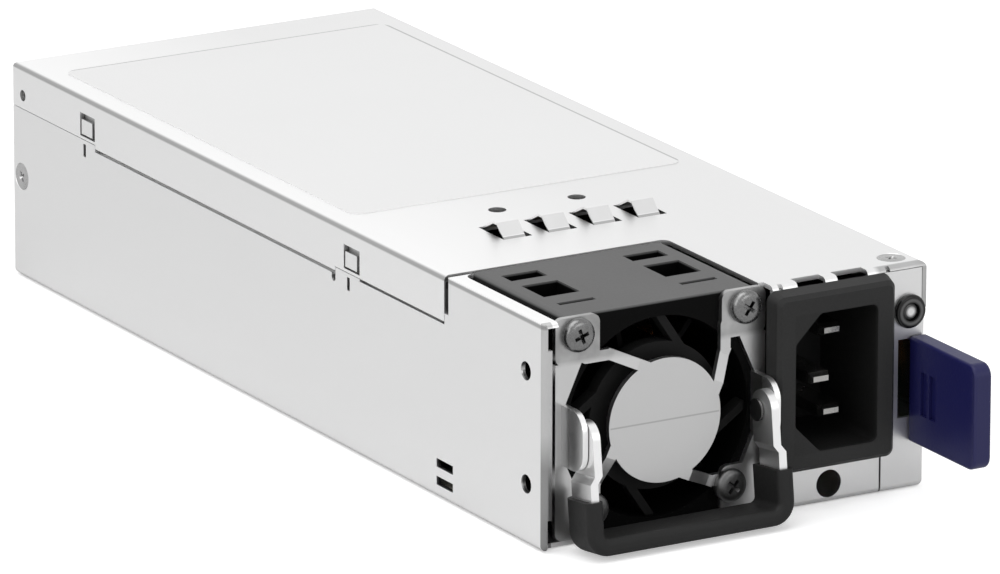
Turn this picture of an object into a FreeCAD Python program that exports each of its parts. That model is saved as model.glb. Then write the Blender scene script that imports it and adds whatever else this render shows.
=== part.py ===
"""A 1U hot swap server power supply, built as the separate pieces it is assembled from.

All sizes are in millimetres. While a piece is built, x runs from the left wall, y from the
front plane towards the rear connector, and z from the underside of the case. save() then moves
the origin to the middle of the underside, where the unit rests.
"""
import FreeCAD, Part
import math
import os
from FreeCAD import Placement, Rotation, Vector

# ---- case ------------------------------------------------------------------------------------
CASE_WIDTH = 73.5
CASE_LENGTH = 185.0
CASE_HEIGHT = 39.0
SHEET = 0.8                  # thickness of every folded sheet piece
BEND = 1.0                   # outside radius of a fold
SEAT_GAP = 0.1               # gap where one sheet is slipped inside another
COVER_FLANGE = 8.0           # how far the cover's sides come down
LIP_WIDTH = 2.8              # return lip along the top of the left wall, beside the fan
FRONT_RETURN = 1.6           # return lip down the front edge of the left wall
RETURN_RELIEF = 4.6          # plain wall left above and below that lip
LIP_REAR = 31.1              # rear end of the left wall above the seam
LIP_FOOT = 1.5               # part of it that runs on to the cover, just above the seam
FRONT_SEAM_GAP = 0.4         # extra gap under the cover's flange, ahead of the first hook
SEAM_STEP = 1.2              # between the hooks the tray's edge steps down by this
SEAM_STEP_FRONT = 69.05
FLANGE_STEP = 0.6            # and the cover's flange by this
HOOK_LENGTH = 5.4            # windows for the lanced tongues that lock the cover
HOOK_HEIGHT = 4.2
HOOK_RELIEF = 0.9
HOOK_DISTANCES = (63.8, 157.5)
COVER_HOLE = 3.1
COVER_HOLES = ((27.0, 61.5), (42.5, 61.5))
CASE_SCREW_HEAD = 5.0
CASE_SCREW_SHANK = 2.9
CASE_SCREW_LENGTH = 4.5
SIDE_SCREW_FROM_REAR = 2.9
SIDE_SCREW_HEIGHT = 18.5
TOP_SCREW_FROM_RIGHT = 4.1
TOP_SCREW_FROM_FRONT = 4.6

# ---- spring fingers lanced up out of the cover -----------------------------------------------
FINGER_COUNT = 4
FINGER_PITCH = 8.73
FINGER_SLOT = 5.5
FINGER_WIDTH = 4.2
FINGER_LENGTH = 8.5
FINGER_RISE = 1.9
FINGER_SHEET = 0.35
FINGER_FIRST = 21.75         # middle of the first finger, from the left wall
FINGER_FRONT = 45.5

# ---- fan -------------------------------------------------------------------------------------
FAN_SIZE = 38.0
FAN_DEPTH = 29.3
FAN_SCREW_INSET = 3.0        # upper screws, in from the frame's sides and top
FAN_AXIS_DROP = 0.75         # duct and hub below the middle of the frame
FAN_FROM_LEFT = 4.4
FAN_FRONT = 3.0
FAN_WALL = 1.8               # wall of the duct at the middle of each side
FAN_HUB_RADIUS = 12.6
FAN_HUB_DEPTH = 2.6
FAN_SPOKES = 4
FAN_SPOKE_WIDTH = 1.4
FAN_SPOKE_SWEEP = 25.0       # degrees between a spoke's two ends
ROTOR_CUP_RADIUS = 11.6
ROTOR_CUP_WALL = 0.9
ROTOR_GAP = 0.5              # blade tip to duct
ROTOR_LENGTH = 18.6
BLADES = 7
BLADE_THICKNESS = 0.9
FAN_SHAFT_RADIUS = 1.0
FAN_BEARING_RADIUS = 3.0
FAN_BEARING_LENGTH = 2.5
SHAFT_CLEARANCE = 0.04
BEARING_TUBE_WALL = 1.1
MAGNET_THICKNESS = 0.8

# ---- finger guard and handle -----------------------------------------------------------------
GUARD_SHEET = 1.0
GUARD_OVERHANG = 1.05        # guard beyond each side of the fan
GUARD_TAB = 8.4
GUARD_DISC = 21.3
GUARD_DISC_PROUD = 1.4       # the arms bend forward and carry the disc ahead of the tabs
GUARD_ARM = 1.9
LOWER_SCREW_WALL = 0.42      # plastic between the duct and a lower screw
LOWER_SCREW_ANGLE = 45.75    # degrees below the fan's axis
EAR_SHEET = 1.0
EAR_INSET = 1.15             # outer face of each ear, in from the guard's edge
EAR_RISE = 5.15              # ear above and below the pivot
EAR_AHEAD = 2.9              # ear ahead of the pivot
EAR_CORNER = 3.4
PIVOT_AHEAD = 4.0            # pivot ahead of the guard's front face
PIVOT_RADIUS = 1.5
PIVOT_CLEARANCE = 0.05
HANDLE_TILT = 7.0            # degrees that the resting handle leans forward
STRAP_SHEET = 1.45
STRAP_WIDTH = 6.3
STRAP_BEHIND = 2.0           # strap behind the line from the pivot down its arm
STRAP_ABOVE = 3.5            # strap's round end above the pivot
BAIL_HEIGHT = 0.56           # underside of the hanging bail above the case's base
STRAP_GAP = 0.12
STRAP_JOG = 0.92             # arms step outwards below the ears
STRAP_JOG_START = 5.6
STRAP_JOG_END = 6.8
GRIP_LENGTH = 9.3            # rubber up each arm
GRIP_BAR = 2.9
GRIP_UNDER = 0.5
GRIP_OUTSIDE = 1.05
GRIP_INSIDE = 0.65
GRIP_BEHIND = 1.2
GRIP_AHEAD = 0.7
GRIP_EDGE = 1.1              # rounding of the front edges
GRIP_HEEL = 2.0              # rounding under the rear edge
GRIP_CORNER = 4.0
GRIP_NOTCH = 13.4            # down to here the right arm has no rubber beside the inlet
GRIP_NOTCH_DEPTH = 3.5
RIVET_HEAD = 0.4             # inner head beyond the pin's radius, and its height
PAN_HEAD_RADIUS = 2.9
PAN_HEAD_HEIGHT = 1.6
PAN_SHANK_RADIUS = 1.3
PAN_LENGTH = 9.0

# ---- mains inlet -----------------------------------------------------------------------------
INLET_FROM_RIGHT = 19.2      # centre of the inlet from the right wall
INLET_HEIGHT = 22.2
INLET_FLANGE_LEFT = 11.85    # edges of the flange's foot from the middle of the mouth
INLET_FLANGE_RIGHT = 12.15
INLET_FLANGE_UP = 16.0
INLET_FLANGE_DOWN = 15.65
INLET_PROUD = 3.0
INLET_EDGE = 0.7             # bevel round the front face
INLET_DRAFT = 0.6            # how far the sides lean in from foot to bevel
INLET_MOUTH_WIDTH = 15.9
INLET_MOUTH_TALL = 23.8
INLET_MOUTH_CHAMFER = 4.8
INLET_MOUTH_DEPTH = 18.0
INLET_WALL = 1.5
PIN_SPACING = 14.0
PIN_OFFSET = 2.0             # line and neutral to one side of the middle, earth to the other
PIN_WIDTH = 4.0
PIN_THICKNESS = 2.0
PIN_RECESS = 4.9             # pin tip inside the mouth
EARTH_LONGER = 3.2
PIN_TAIL = 6.0
SNAPS = ((-3.2, 5.4), (4.8, 5.9))   # place and width of the notches over the snap ramps
SNAP_NOTCH = 2.4
COVER_RELIEFS = (-9.5, 11.3)
COVER_RELIEF = 0.8

# ---- status light and strap hole -------------------------------------------------------------
LIGHT_FROM_RIGHT = 3.4
LIGHT_FROM_TOP = 8.1
LIGHT_RING_RADIUS = 2.9
LIGHT_RING_PROUD = 1.0
LIGHT_LENS_RADIUS = 1.5
LIGHT_HOLE_RADIUS = 2.3
STRAP_HOLE_RADIUS = 2.4
STRAP_HOLE_FROM_RIGHT = 18.7
STRAP_HOLE_HEIGHT = 3.3

# ---- release latch ---------------------------------------------------------------------------
LATCH_SHEET = 0.8
LATCH_BOTTOM = 14.0
LATCH_TALL = 11.0
LATCH_LENGTH = 50.0          # front plane to the line where the leaf bends
LATCH_TURN = 3.2             # degrees that the leaf can be pushed
LATCH_BITE = 2.0             # catch outside the case
CATCH_FRONT = 9.0
CATCH_LENGTH = 6.0
CATCH_TALL = 7.0
LATCH_ROOT_GAP = 0.2
ANCHOR_LENGTH = 8.0
TAB_THICKNESS = 3.3
TAB_LENGTH = 20.1
TAB_TALL = 18.2
TAB_BELOW_LIGHT = 1.5
TAB_CORNER = 2.2
TAB_GAP = 0.4                # tab to front wall
TAB_SOCKET = 9.0

# ---- circuit board and what stands on it -----------------------------------------------------
BOARD_THICKNESS = 1.6
BOARD_HEIGHT = 6.0           # underside of the board
BOARD_MARGIN = 4.0
BOARD_FRONT = 34.0
BOARD_REAR_GAP = 2.0
TONGUE_WIDTH = 50.0
TONGUE_PROUD = 9.0
CONTACTS = 24
CONTACT_PITCH = 2.0
CONTACT_WIDTH = 1.4
CONTACT_LENGTH = 7.0
CONTACT_THICKNESS = 0.1
INSULATION = 0.3
STANDOFF_RADIUS = 2.5
STANDOFF_INSET = 5.0
BULK_RADIUS = 13.5
BULK_LENGTH = 45.0
VENT_SIZE = 5.2              # across the flats of one vent hole
VENT_WEB = 1.2

# ---- places that follow from the sizes above -------------------------------------------------
FAN_X = FAN_FROM_LEFT + FAN_SIZE / 2
FRAME_Z = SHEET + FAN_SIZE / 2
FAN_Z = FRAME_Z - FAN_AXIS_DROP
FAN_SCREW_PITCH = FAN_SIZE - 2 * FAN_SCREW_INSET
GUARD_WIDTH = FAN_SIZE + 2 * GUARD_OVERHANG
FAN_BACK = FAN_FRONT + FAN_DEPTH
DUCT_RADIUS = FAN_SIZE / 2 - FAN_WALL
GUARD_FRONT = FAN_FRONT - GUARD_SHEET
SEAM = CASE_HEIGHT - COVER_FLANGE
OPENING_REAR = FAN_BACK + SEAT_GAP
OPENING_RIGHT = FAN_X + GUARD_WIDTH / 2 + 0.15
PIVOT_Y = GUARD_FRONT - PIVOT_AHEAD
PIVOT_Z = FAN_Z
STRAP_DROP = PIVOT_Z - BAIL_HEIGHT                  # pivot to the underside of the bail
EAR_SPAN = GUARD_WIDTH - 2 * EAR_INSET             # distance between the outer faces of the ears
STRAP_OUTER = EAR_SPAN / 2 - EAR_SHEET - STRAP_GAP  # fan's axis to the outer face of an arm's eye
INLET_X = CASE_WIDTH - INLET_FROM_RIGHT
LIGHT_X = CASE_WIDTH - LIGHT_FROM_RIGHT
LIGHT_Z = CASE_HEIGHT - LIGHT_FROM_TOP
STRAP_HOLE_X = CASE_WIDTH - STRAP_HOLE_FROM_RIGHT
TAB_BOTTOM = LIGHT_Z - LIGHT_RING_RADIUS - TAB_BELOW_LIGHT - TAB_TALL
LEAF_X = CASE_WIDTH - SHEET - 0.2 - LATCH_SHEET    # inner face of the leaf
LATCH_SWING = LATCH_LENGTH * math.tan(math.radians(LATCH_TURN))
BOARD_TOP = BOARD_HEIGHT + BOARD_THICKNESS
BOARD_REAR = CASE_LENGTH - SHEET - BOARD_REAR_GAP


# ---- helpers ---------------------------------------------------------------------------------
def block(x0, x1, y0, y1, z0, z1):
    """A box between two corners."""
    return Part.makeBox(x1 - x0, y1 - y0, z1 - z0, Vector(x0, y0, z0))


def rod(radius, start, direction, length):
    return Part.makeCylinder(radius, length, Vector(*start), Vector(*direction))


def rod_x(radius, x0, x1, y, z):
    return rod(radius, (x0, y, z), (1, 0, 0), x1 - x0)


def rod_y(radius, x, z, y0, y1):
    return rod(radius, (x, y0, z), (0, 1, 0), y1 - y0)


def rod_z(radius, x, y, z0, z1):
    return rod(radius, (x, y, z0), (0, 0, 1), z1 - z0)


def union(shapes):
    return shapes[0].multiFuse(shapes[1:]).removeSplitter() if len(shapes) > 1 else shapes[0]


def group(shapes):
    """Several separate solids kept in one node."""
    return Part.makeCompound(shapes)


def edges_where(shape, test):
    """The straight edges whose two ends both pass a test."""
    ends = [(edge, [v.Point for v in edge.Vertexes]) for edge in shape.Edges]
    return [edge for edge, points in ends if len(points) == 2 and all(test(p) for p in points)]


def near(a, b):
    return abs(a - b) < 1e-4


def plate_xz(points, y, depth):
    """A flat outline in the x-z plane, given thickness towards the rear."""
    wire = Part.makePolygon([Vector(x, y, z) for x, z in points + points[:1]])
    return Part.Face(wire).extrude(Vector(0, depth, 0))


def plate_yz(points, x, depth):
    """A flat outline in the y-z plane, given thickness towards the right."""
    wire = Part.makePolygon([Vector(x, y, z) for y, z in points + points[:1]])
    return Part.Face(wire).extrude(Vector(depth, 0, 0))


def plate_xy(points, z, depth):
    wire = Part.makePolygon([Vector(x, y, z) for x, y in points + points[:1]])
    return Part.Face(wire).extrude(Vector(0, 0, depth))


def bar_xz(start, end, width, y, depth):
    """A straight round-ended bar between two x-z points."""
    (x0, z0), (x1, z1) = start, end
    run = math.hypot(x1 - x0, z1 - z0)
    side = (-(z1 - z0) / run * width / 2, (x1 - x0) / run * width / 2)
    corners = [(x0 + side[0], z0 + side[1]), (x1 + side[0], z1 + side[1]),
               (x1 - side[0], z1 - side[1]), (x0 - side[0], z0 - side[1])]
    ends = [rod_y(width / 2, x, z, y, y + depth) for x, z in (start, end)]
    return union([plate_xz(corners, y, depth)] + ends)


def rounded_plate(x0, x1, y0, y1, z0, z1, radius):
    """A box whose four edges along y are rounded."""
    body = block(x0, x1, y0, y1, z0, z1)
    along_y = [e for e in body.Edges if abs(e.Vertexes[0].Y - e.Vertexes[1].Y) > 1e-4]
    return body.makeFillet(radius, along_y)


def countersunk_screw(tip, axis):
    """A flush screw: its head lies in the outer face, at the point given, and axis leads inwards."""
    depth = (CASE_SCREW_HEAD - CASE_SCREW_SHANK) / 2
    head = Part.makeCone(CASE_SCREW_HEAD / 2, CASE_SCREW_SHANK / 2, depth, Vector(*tip), Vector(*axis))
    shank = rod(CASE_SCREW_SHANK / 2, tip, axis, CASE_SCREW_LENGTH)
    return head.fuse(shank).removeSplitter()


def save(name, shape):
    """Write one piece, moved so that the origin is the middle of the underside."""
    placed = shape.copy()
    placed.translate(Vector(-CASE_WIDTH / 2, -CASE_LENGTH / 2, 0))
    placed.exportStep("parts/" + name + ".step")


# ---- case pieces -----------------------------------------------------------------------------
def folded_box(fold_test):
    """The whole case as one hollow sheet box, with the folds that pass the test rounded."""
    outer = block(0, CASE_WIDTH, 0, CASE_LENGTH, 0, CASE_HEIGHT)
    outer = outer.makeFillet(BEND, edges_where(outer, fold_test))
    inner = block(SHEET, CASE_WIDTH - SHEET, SHEET, CASE_LENGTH + 1, SHEET, CASE_HEIGHT - SHEET)
    inner_folds = edges_where(inner, lambda p: near(p.z, SHEET) or near(p.z, CASE_HEIGHT - SHEET))
    along_y = [e for e in inner_folds if abs(e.Vertexes[0].Y - e.Vertexes[1].Y) > 1]
    inner = inner.makeFillet(BEND - SHEET, along_y)
    return outer.cut(inner)


def hook_reach(y):
    """Front and rear ends of the window for the tongue at y."""
    return y - 0.55 * HOOK_LENGTH, y + 0.45 * HOOK_LENGTH


def hook_windows(y, x0, x1):
    """The opening in a cover flange that one locking tongue looks through."""
    low = SEAM + 0.6
    return block(x0, x1, *hook_reach(y), low, low + HOOK_HEIGHT)


def mirrored(shape):
    """The same shape on the other side of the case."""
    return shape.mirror(Vector(CASE_WIDTH / 2, 0, 0), Vector(1, 0, 0))


def side_tongues():
    """Upper part of a side wall, set in by one sheet, with the tongues that lock the cover."""
    inner = SHEET + SEAT_GAP
    top = CASE_HEIGHT - SHEET - SEAT_GAP
    wall = block(inner, inner + SHEET, OPENING_REAR + 2, CASE_LENGTH - 8, SEAM - 2.4, top)
    step = block(SHEET / 2, inner + SHEET, OPENING_REAR + 2, CASE_LENGTH - 8, SEAM - 2.4, SEAM - 1.6)
    pieces = [wall, step]
    for y in HOOK_DISTANCES:
        front, rear = hook_reach(y)
        low = SEAM + 0.9
        pieces.append(block(0.15, inner + SHEET, front + 1.2, rear - 0.25, low, low + HOOK_HEIGHT - 1.5))
    return pieces


def chassis_tray():
    tray = folded_box(lambda p: near(p.z, 0) or (near(p.y, 0) and near(p.x, 0))
                      or (near(p.y, 0) and near(p.x, CASE_WIDTH)))
    open_top = CASE_HEIGHT - SHEET
    beyond = CASE_LENGTH + 2
    tray = tray.cut([
        # everything above the seam, behind the fan
        block(-1, CASE_WIDTH + 1, OPENING_REAR, beyond, SEAM, CASE_HEIGHT + 1),
        block(-1, CASE_WIDTH + 1, LIP_REAR, beyond, SEAM + LIP_FOOT, CASE_HEIGHT + 1),
        # the roof ahead of it, apart from the lip on the left wall
        block(LIP_WIDTH, CASE_WIDTH + 1, -1, beyond, open_top - SEAT_GAP, CASE_HEIGHT + 1),
        # the right wall above the seam, beside the front wall
        block(CASE_WIDTH - SHEET - SEAT_GAP, CASE_WIDTH + 1, -1, beyond, SEAM, CASE_HEIGHT + 1),
        # the fan's opening in the front wall, with the lip left on the left wall
        block(SHEET, OPENING_RIGHT, -1, SHEET + 0.5, -1, RETURN_RELIEF + SHEET),
        block(SHEET, OPENING_RIGHT, -1, SHEET + 0.5, CASE_HEIGHT - RETURN_RELIEF, CASE_HEIGHT - SHEET),
        block(FRONT_RETURN, OPENING_RIGHT, -1, SHEET + 0.5, 0, CASE_HEIGHT - SHEET),
        block(FRONT_RETURN, OPENING_RIGHT, -1, GUARD_FRONT, -1, SHEET + 0.5),
        # the rear, which the rear panel closes
        block(SHEET, CASE_WIDTH - SHEET, CASE_LENGTH - SHEET - 1, beyond, SHEET, CASE_HEIGHT),
    ])
    gusset = block(LIP_WIDTH, LIP_WIDTH + 2, LIP_REAR - 2, LIP_REAR, open_top, CASE_HEIGHT)
    gusset = gusset.cut(rod_z(2, LIP_WIDTH + 2, LIP_REAR - 2, 0, CASE_HEIGHT + 1))
    top_tab = block(CASE_WIDTH - 9, CASE_WIDTH - SHEET - 0.6, SHEET / 2, 9.5,
                    open_top - SEAT_GAP - SHEET, open_top - SEAT_GAP)
    left = side_tongues()
    right = [mirrored(piece) for piece in left]
    tray = union([tray, gusset, top_tab] + left + right)
    return tray.cut(tray_openings())


def tray_openings():
    """Every hole in the tray: inlet, light, strap hole, latch, screws and the small wall holes."""
    front = (-1, SHEET + 0.5)
    body_half = INLET_MOUTH_WIDTH / 2 + INLET_WALL + SEAT_GAP
    body_tall = INLET_MOUTH_TALL / 2 + INLET_WALL + SEAT_GAP
    right = CASE_WIDTH - SHEET
    seam_x = CASE_WIDTH - 8.9
    cuts = [
        block(INLET_X - body_half, INLET_X + body_half, *front,
              INLET_HEIGHT - body_tall, INLET_HEIGHT + body_tall),
        rod_y(LIGHT_HOLE_RADIUS, LIGHT_X, LIGHT_Z, *front),
        rod_y(STRAP_HOLE_RADIUS, STRAP_HOLE_X, STRAP_HOLE_HEIGHT, *front),
        # slit that the latch leaf swings in
        block(LEAF_X - LATCH_SWING - 0.8, right, *front, LATCH_BOTTOM - 1.5, LATCH_BOTTOM + LATCH_TALL + 1.1),
        # window that the catch looks through
        block(right - 1, CASE_WIDTH + 1, CATCH_FRONT - 0.6, CATCH_FRONT + CATCH_LENGTH + 0.6,
              catch_bottom() - 0.6, catch_bottom() + CATCH_TALL + 0.6),
        # seam between the folded front and the fold from the right wall
        block(seam_x, seam_x + 0.35, *front, -1, INLET_HEIGHT - body_tall + 1),
        top_screw(),
    ]
    rounds = ((5.8, 29.7, 1.6), (5.6, 10.4, 1.6), (69.7, SEAM - 1.3, 0.65), (69.7, SEAM - 1.9, 0.65))
    for y, z, radius in rounds:
        cuts.append(rod_x(radius, -1, SHEET + 0.05, y, z))
    for z in (2.2, 5.3):
        cuts.append(block(-1, SHEET + 0.5, 29.6, 35.0, z, z + 1.5))
    for y in HOOK_DISTANCES:
        relief = block(-1, SHEET + 1.5, y + 0.4, y + 0.4 + HOOK_RELIEF, SEAM - 3.0, SEAM - 0.7)
        cuts += [relief, mirrored(relief)]
    first, second = [hook_reach(y)[0] for y in HOOK_DISTANCES]
    for start, end, drop in ((OPENING_REAR, first, FRONT_SEAM_GAP), (SEAM_STEP_FRONT, second, SEAM_STEP)):
        wide_seam = block(-1, SHEET + 0.05, start, end, SEAM - drop, SEAM + 0.05)
        cuts += [wide_seam, mirrored(wide_seam)]
    for offset, width in SNAPS:
        x = INLET_X + offset
        cuts.append(block(x - width / 2, x + width / 2, *front, CASE_HEIGHT - 1.8, CASE_HEIGHT))
    for y in latch_rivet_places():
        cuts.append(rod_x(1.2, right - 1, CASE_WIDTH + 1, y, LATCH_BOTTOM + LATCH_TALL / 2))
    return cuts + [side_screw(), mirrored(side_screw())]


def spring_finger(x):
    """One arched strip: hinged at the rear of its slot, it climbs forward and dips to its free end."""
    top = CASE_HEIGHT
    front = FINGER_FRONT
    rear = front + FINGER_LENGTH
    crest = front + 0.42 * FINGER_LENGTH
    upper = [(rear, top), (crest + 1.2, top + FINGER_RISE), (crest, top + FINGER_RISE),
             (front + 0.9, top - 0.6)]
    lower = [(y, z - FINGER_SHEET) for y, z in reversed(upper)]
    strip = plate_yz(upper + lower, x - FINGER_WIDTH / 2, FINGER_WIDTH)
    return strip


def top_cover():
    cover = folded_box(lambda p: near(p.z, CASE_HEIGHT) and (near(p.x, 0) or near(p.x, CASE_WIDTH)))
    beyond = CASE_LENGTH + 2
    fan_side = FAN_X + FAN_SIZE / 2 + 0.25
    opening_rear = OPENING_REAR + SEAT_GAP
    opening = block(-1, fan_side, -1, opening_rear, -1, CASE_HEIGHT + 1)
    corner = edges_where(opening, lambda p: near(p.x, fan_side) and near(p.y, opening_rear))
    cuts = [
        block(-1, CASE_WIDTH + 1, -1, beyond, -1, SEAM - FLANGE_STEP),
        # the flanges reach lower between the hooks only
        block(-1, CASE_WIDTH + 1, -1, SEAM_STEP_FRONT + SEAT_GAP, -1, SEAM + SEAT_GAP),
        block(-1, CASE_WIDTH + 1, hook_reach(HOOK_DISTANCES[1])[0] - SEAT_GAP, beyond, -1, SEAM + SEAT_GAP),
        # front wall and the fan's opening
        block(SHEET, CASE_WIDTH - SHEET, -1, SHEET, -1, CASE_HEIGHT - SHEET),
        opening.makeFillet(1.5, corner),
        block(-1, OPENING_RIGHT, -1, FAN_FRONT + SEAT_GAP, -1, CASE_HEIGHT + 1),
    ]
    finger_middles = [FINGER_FIRST + i * FINGER_PITCH for i in range(FINGER_COUNT)]
    for x in finger_middles:
        cuts.append(block(x - FINGER_SLOT / 2, x + FINGER_SLOT / 2, FINGER_FRONT,
                          FINGER_FRONT + FINGER_LENGTH, CASE_HEIGHT - 2, CASE_HEIGHT + 1))
    for x, y in COVER_HOLES:
        cuts.append(rod_z(COVER_HOLE / 2, x, y, CASE_HEIGHT - 2, CASE_HEIGHT + 1))
    for offset, width in SNAPS:
        x = INLET_X + offset
        cuts.append(block(x - width / 2, x + width / 2, -1, SNAP_NOTCH, CASE_HEIGHT - 2, CASE_HEIGHT + 1))
    for offset in COVER_RELIEFS:
        x = INLET_X + offset
        cuts.append(block(x, x + COVER_RELIEF, -1, COVER_RELIEF, CASE_HEIGHT - 2, CASE_HEIGHT + 1))
    for y in HOOK_DISTANCES:
        window = hook_windows(y, -1, SHEET + 0.05)
        cuts += [window, mirrored(window)]
    cuts.append(rod_x(1.0, -1, 2, CASE_LENGTH - 3.6, CASE_HEIGHT - 5.5))
    cover = cover.cut(cuts + [top_screw()])
    return union([cover] + [spring_finger(x) for x in finger_middles])


def rear_panel():
    """The vented rear wall, a pan whose side flanges sit inside the tray."""
    left = SHEET + SEAT_GAP
    top = CASE_HEIGHT - SHEET - SEAT_GAP
    wall = block(left, CASE_WIDTH - left, CASE_LENGTH - SHEET, CASE_LENGTH, SHEET + SEAT_GAP, top)
    flange = block(left, left + SHEET, CASE_LENGTH - 7, CASE_LENGTH - SHEET / 2, SHEET + SEAT_GAP, top)
    slot_half = TONGUE_WIDTH / 2 + 1.5
    middle = CASE_WIDTH / 2
    cuts = [block(middle - slot_half, middle + slot_half, CASE_LENGTH - 2, CASE_LENGTH + 1,
                  BOARD_HEIGHT - 1.5, BOARD_TOP + 1.5)]
    cuts += [side_screw(), mirrored(side_screw())] + vent_holes()
    return union([wall, flange, mirrored(flange)]).cut(cuts)


def vent_holes():
    """A honeycomb of six-sided holes above the connector slot."""
    step = VENT_SIZE + VENT_WEB
    rise = step * math.sin(math.radians(60))
    columns = int((CASE_WIDTH - 12) / step)
    rows = int((CASE_HEIGHT - BOARD_TOP - 8) / rise)
    corner = VENT_SIZE / math.sqrt(3)
    holes = []
    for row in range(rows):
        count = columns - row % 2
        start = CASE_WIDTH / 2 - (count - 1) * step / 2
        z = BOARD_TOP + 6.2 + row * rise
        for column in range(count):
            x = start + column * step
            angles = [math.radians(30 + 60 * i) for i in range(6)]
            outline = [(x + corner * math.cos(a), z + corner * math.sin(a)) for a in angles]
            holes.append(plate_xz(outline, CASE_LENGTH - 2, 4))
    return holes


def side_screw():
    return countersunk_screw((0, CASE_LENGTH - SIDE_SCREW_FROM_REAR, SIDE_SCREW_HEIGHT), (1, 0, 0))


def top_screw():
    x = CASE_WIDTH - TOP_SCREW_FROM_RIGHT
    return countersunk_screw((x, TOP_SCREW_FROM_FRONT, CASE_HEIGHT), (0, 0, -1))


def case_screws():
    return group([side_screw(), mirrored(side_screw()), top_screw()])


# ---- fan -------------------------------------------------------------------------------------
def upper_corners():
    """Places of the two upper screws."""
    half = FAN_SCREW_PITCH / 2
    return [(FAN_X + side * half, FRAME_Z + half) for side in (-1, 1)]


def lower_corners():
    """Places of the two lower screws, which sit close to the duct."""
    reach = DUCT_RADIUS + LOWER_SCREW_WALL + PAN_SHANK_RADIUS
    angle = math.radians(LOWER_SCREW_ANGLE)
    return [(FAN_X + side * reach * math.cos(angle), FAN_Z - reach * math.sin(angle)) for side in (-1, 1)]


def fan_pockets():
    """The hollows between duct and square frame, open above and below through windows."""
    half = FAN_SIZE / 2
    wall = rod_y(DUCT_RADIUS + 0.8, FAN_X, FAN_Z, FAN_FRONT - 1, FAN_BACK + 1)
    pockets = []
    for start, length in ((6.0, 1.2), (11.2, 7.4), (21.7, 3.5)):
        y = FAN_FRONT + start
        for side in (-1, 1):
            x0, x1 = sorted((FAN_X + side * 8.2, FAN_X + side * (half - 3.9)))
            above = block(x0, x1, y, y + length, FRAME_Z + half - 8, FRAME_Z + half + 1)
            below = block(x0, x1, y, y + length, FRAME_Z - half - 1, FRAME_Z - half + 8)
            pockets += [above.cut(wall), below.cut(wall)]
    return pockets


def fan_frame():
    half = FAN_SIZE / 2
    body = rounded_plate(FAN_X - half, FAN_X + half, FAN_FRONT, FAN_BACK, FRAME_Z - half, FRAME_Z + half, 1.8)
    cuts = [rod_y(DUCT_RADIUS, FAN_X, FAN_Z, FAN_FRONT - 1, FAN_BACK + 1)]
    cuts += [rod_y(PAN_SHANK_RADIUS, x, z, FAN_FRONT - 1, FAN_FRONT + PAN_LENGTH)
             for x, z in upper_corners() + lower_corners()]
    body = body.cut(cuts + fan_pockets())
    hub_back = FAN_FRONT + 0.8 + FAN_HUB_DEPTH
    hub = rod_y(FAN_HUB_RADIUS, FAN_X, FAN_Z, FAN_FRONT + 0.8, hub_back)
    tube_end = rotor_front() + 13
    tube = rod_y(FAN_BEARING_RADIUS + BEARING_TUBE_WALL, FAN_X, FAN_Z, FAN_FRONT + 0.8, tube_end)
    spokes = []
    for i in range(FAN_SPOKES):
        inner = math.radians(62 + 360 / FAN_SPOKES * i)
        outer = inner + math.radians(FAN_SPOKE_SWEEP)
        root = FAN_HUB_RADIUS - 1
        start = (FAN_X + root * math.cos(inner), FAN_Z + root * math.sin(inner))
        reach = DUCT_RADIUS - 0.2
        end = (FAN_X + reach * math.cos(outer), FAN_Z + reach * math.sin(outer))
        spokes.append(bar_xz(start, end, FAN_SPOKE_WIDTH, FAN_FRONT + 0.8, FAN_HUB_DEPTH))
    solid = union([body, hub, tube] + spokes)
    bore = rod_y(FAN_BEARING_RADIUS, FAN_X, FAN_Z, hub_back - 1.4, tube_end + 1)
    return solid.cut(bore)


def rotor_front():
    return FAN_FRONT + 0.8 + FAN_HUB_DEPTH + 0.9


def rotor_blade(angle):
    """One blade, lofted from a curved root section in the cup wall to a flatter one at the tip."""
    sections = []
    front = rotor_front() + 0.6
    length = ROTOR_LENGTH - 1.6
    for radius, sweep in ((ROTOR_CUP_RADIUS - 0.5, 9.0), (DUCT_RADIUS - ROTOR_GAP - 0.3, 11.5)):
        camber = 1.6
        half = BLADE_THICKNESS / 2
        a = Vector(-sweep / 2, front, radius)
        b = Vector(-camber, front + length / 2, radius)
        c = Vector(sweep / 2, front + length, radius)
        shift = Vector(2 * half, 0, 0)
        near_side = Part.Arc(a, b, c).toShape()
        far_side = Part.Arc(c + shift, b + shift, a + shift).toShape()
        ends = [Part.makeLine(c, c + shift), Part.makeLine(a + shift, a)]
        sections.append(Part.Wire([near_side, ends[0], far_side, ends[1]]))
    blade = Part.makeLoft(sections, True, True)
    blade.rotate(Vector(0, 0, 0), Vector(0, 1, 0), angle)
    blade.translate(Vector(FAN_X, 0, FAN_Z))
    return blade


def fan_rotor():
    front = rotor_front()
    back = front + ROTOR_LENGTH
    cup = rod_y(ROTOR_CUP_RADIUS, FAN_X, FAN_Z, front, back)
    cup = cup.makeChamfer(1.0, [e for e in cup.Edges if near(e.CenterOfMass.y, back)])
    blades = [rotor_blade(360 / BLADES * i) for i in range(BLADES)]
    solid = union([cup] + blades)
    hollow = rod_y(ROTOR_CUP_RADIUS - ROTOR_CUP_WALL, FAN_X, FAN_Z, front - 1, back - 1.6)
    boss = rod_y(2.2, FAN_X, FAN_Z, back - 4, back - 1.6)
    solid = solid.cut(hollow).fuse(boss).removeSplitter()
    sweep = rod_y(DUCT_RADIUS - ROTOR_GAP, FAN_X, FAN_Z, front - 1, back + 1)
    return solid.common(sweep).cut(rod_y(FAN_SHAFT_RADIUS, FAN_X, FAN_Z, front - 1, back - 0.6))


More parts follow.
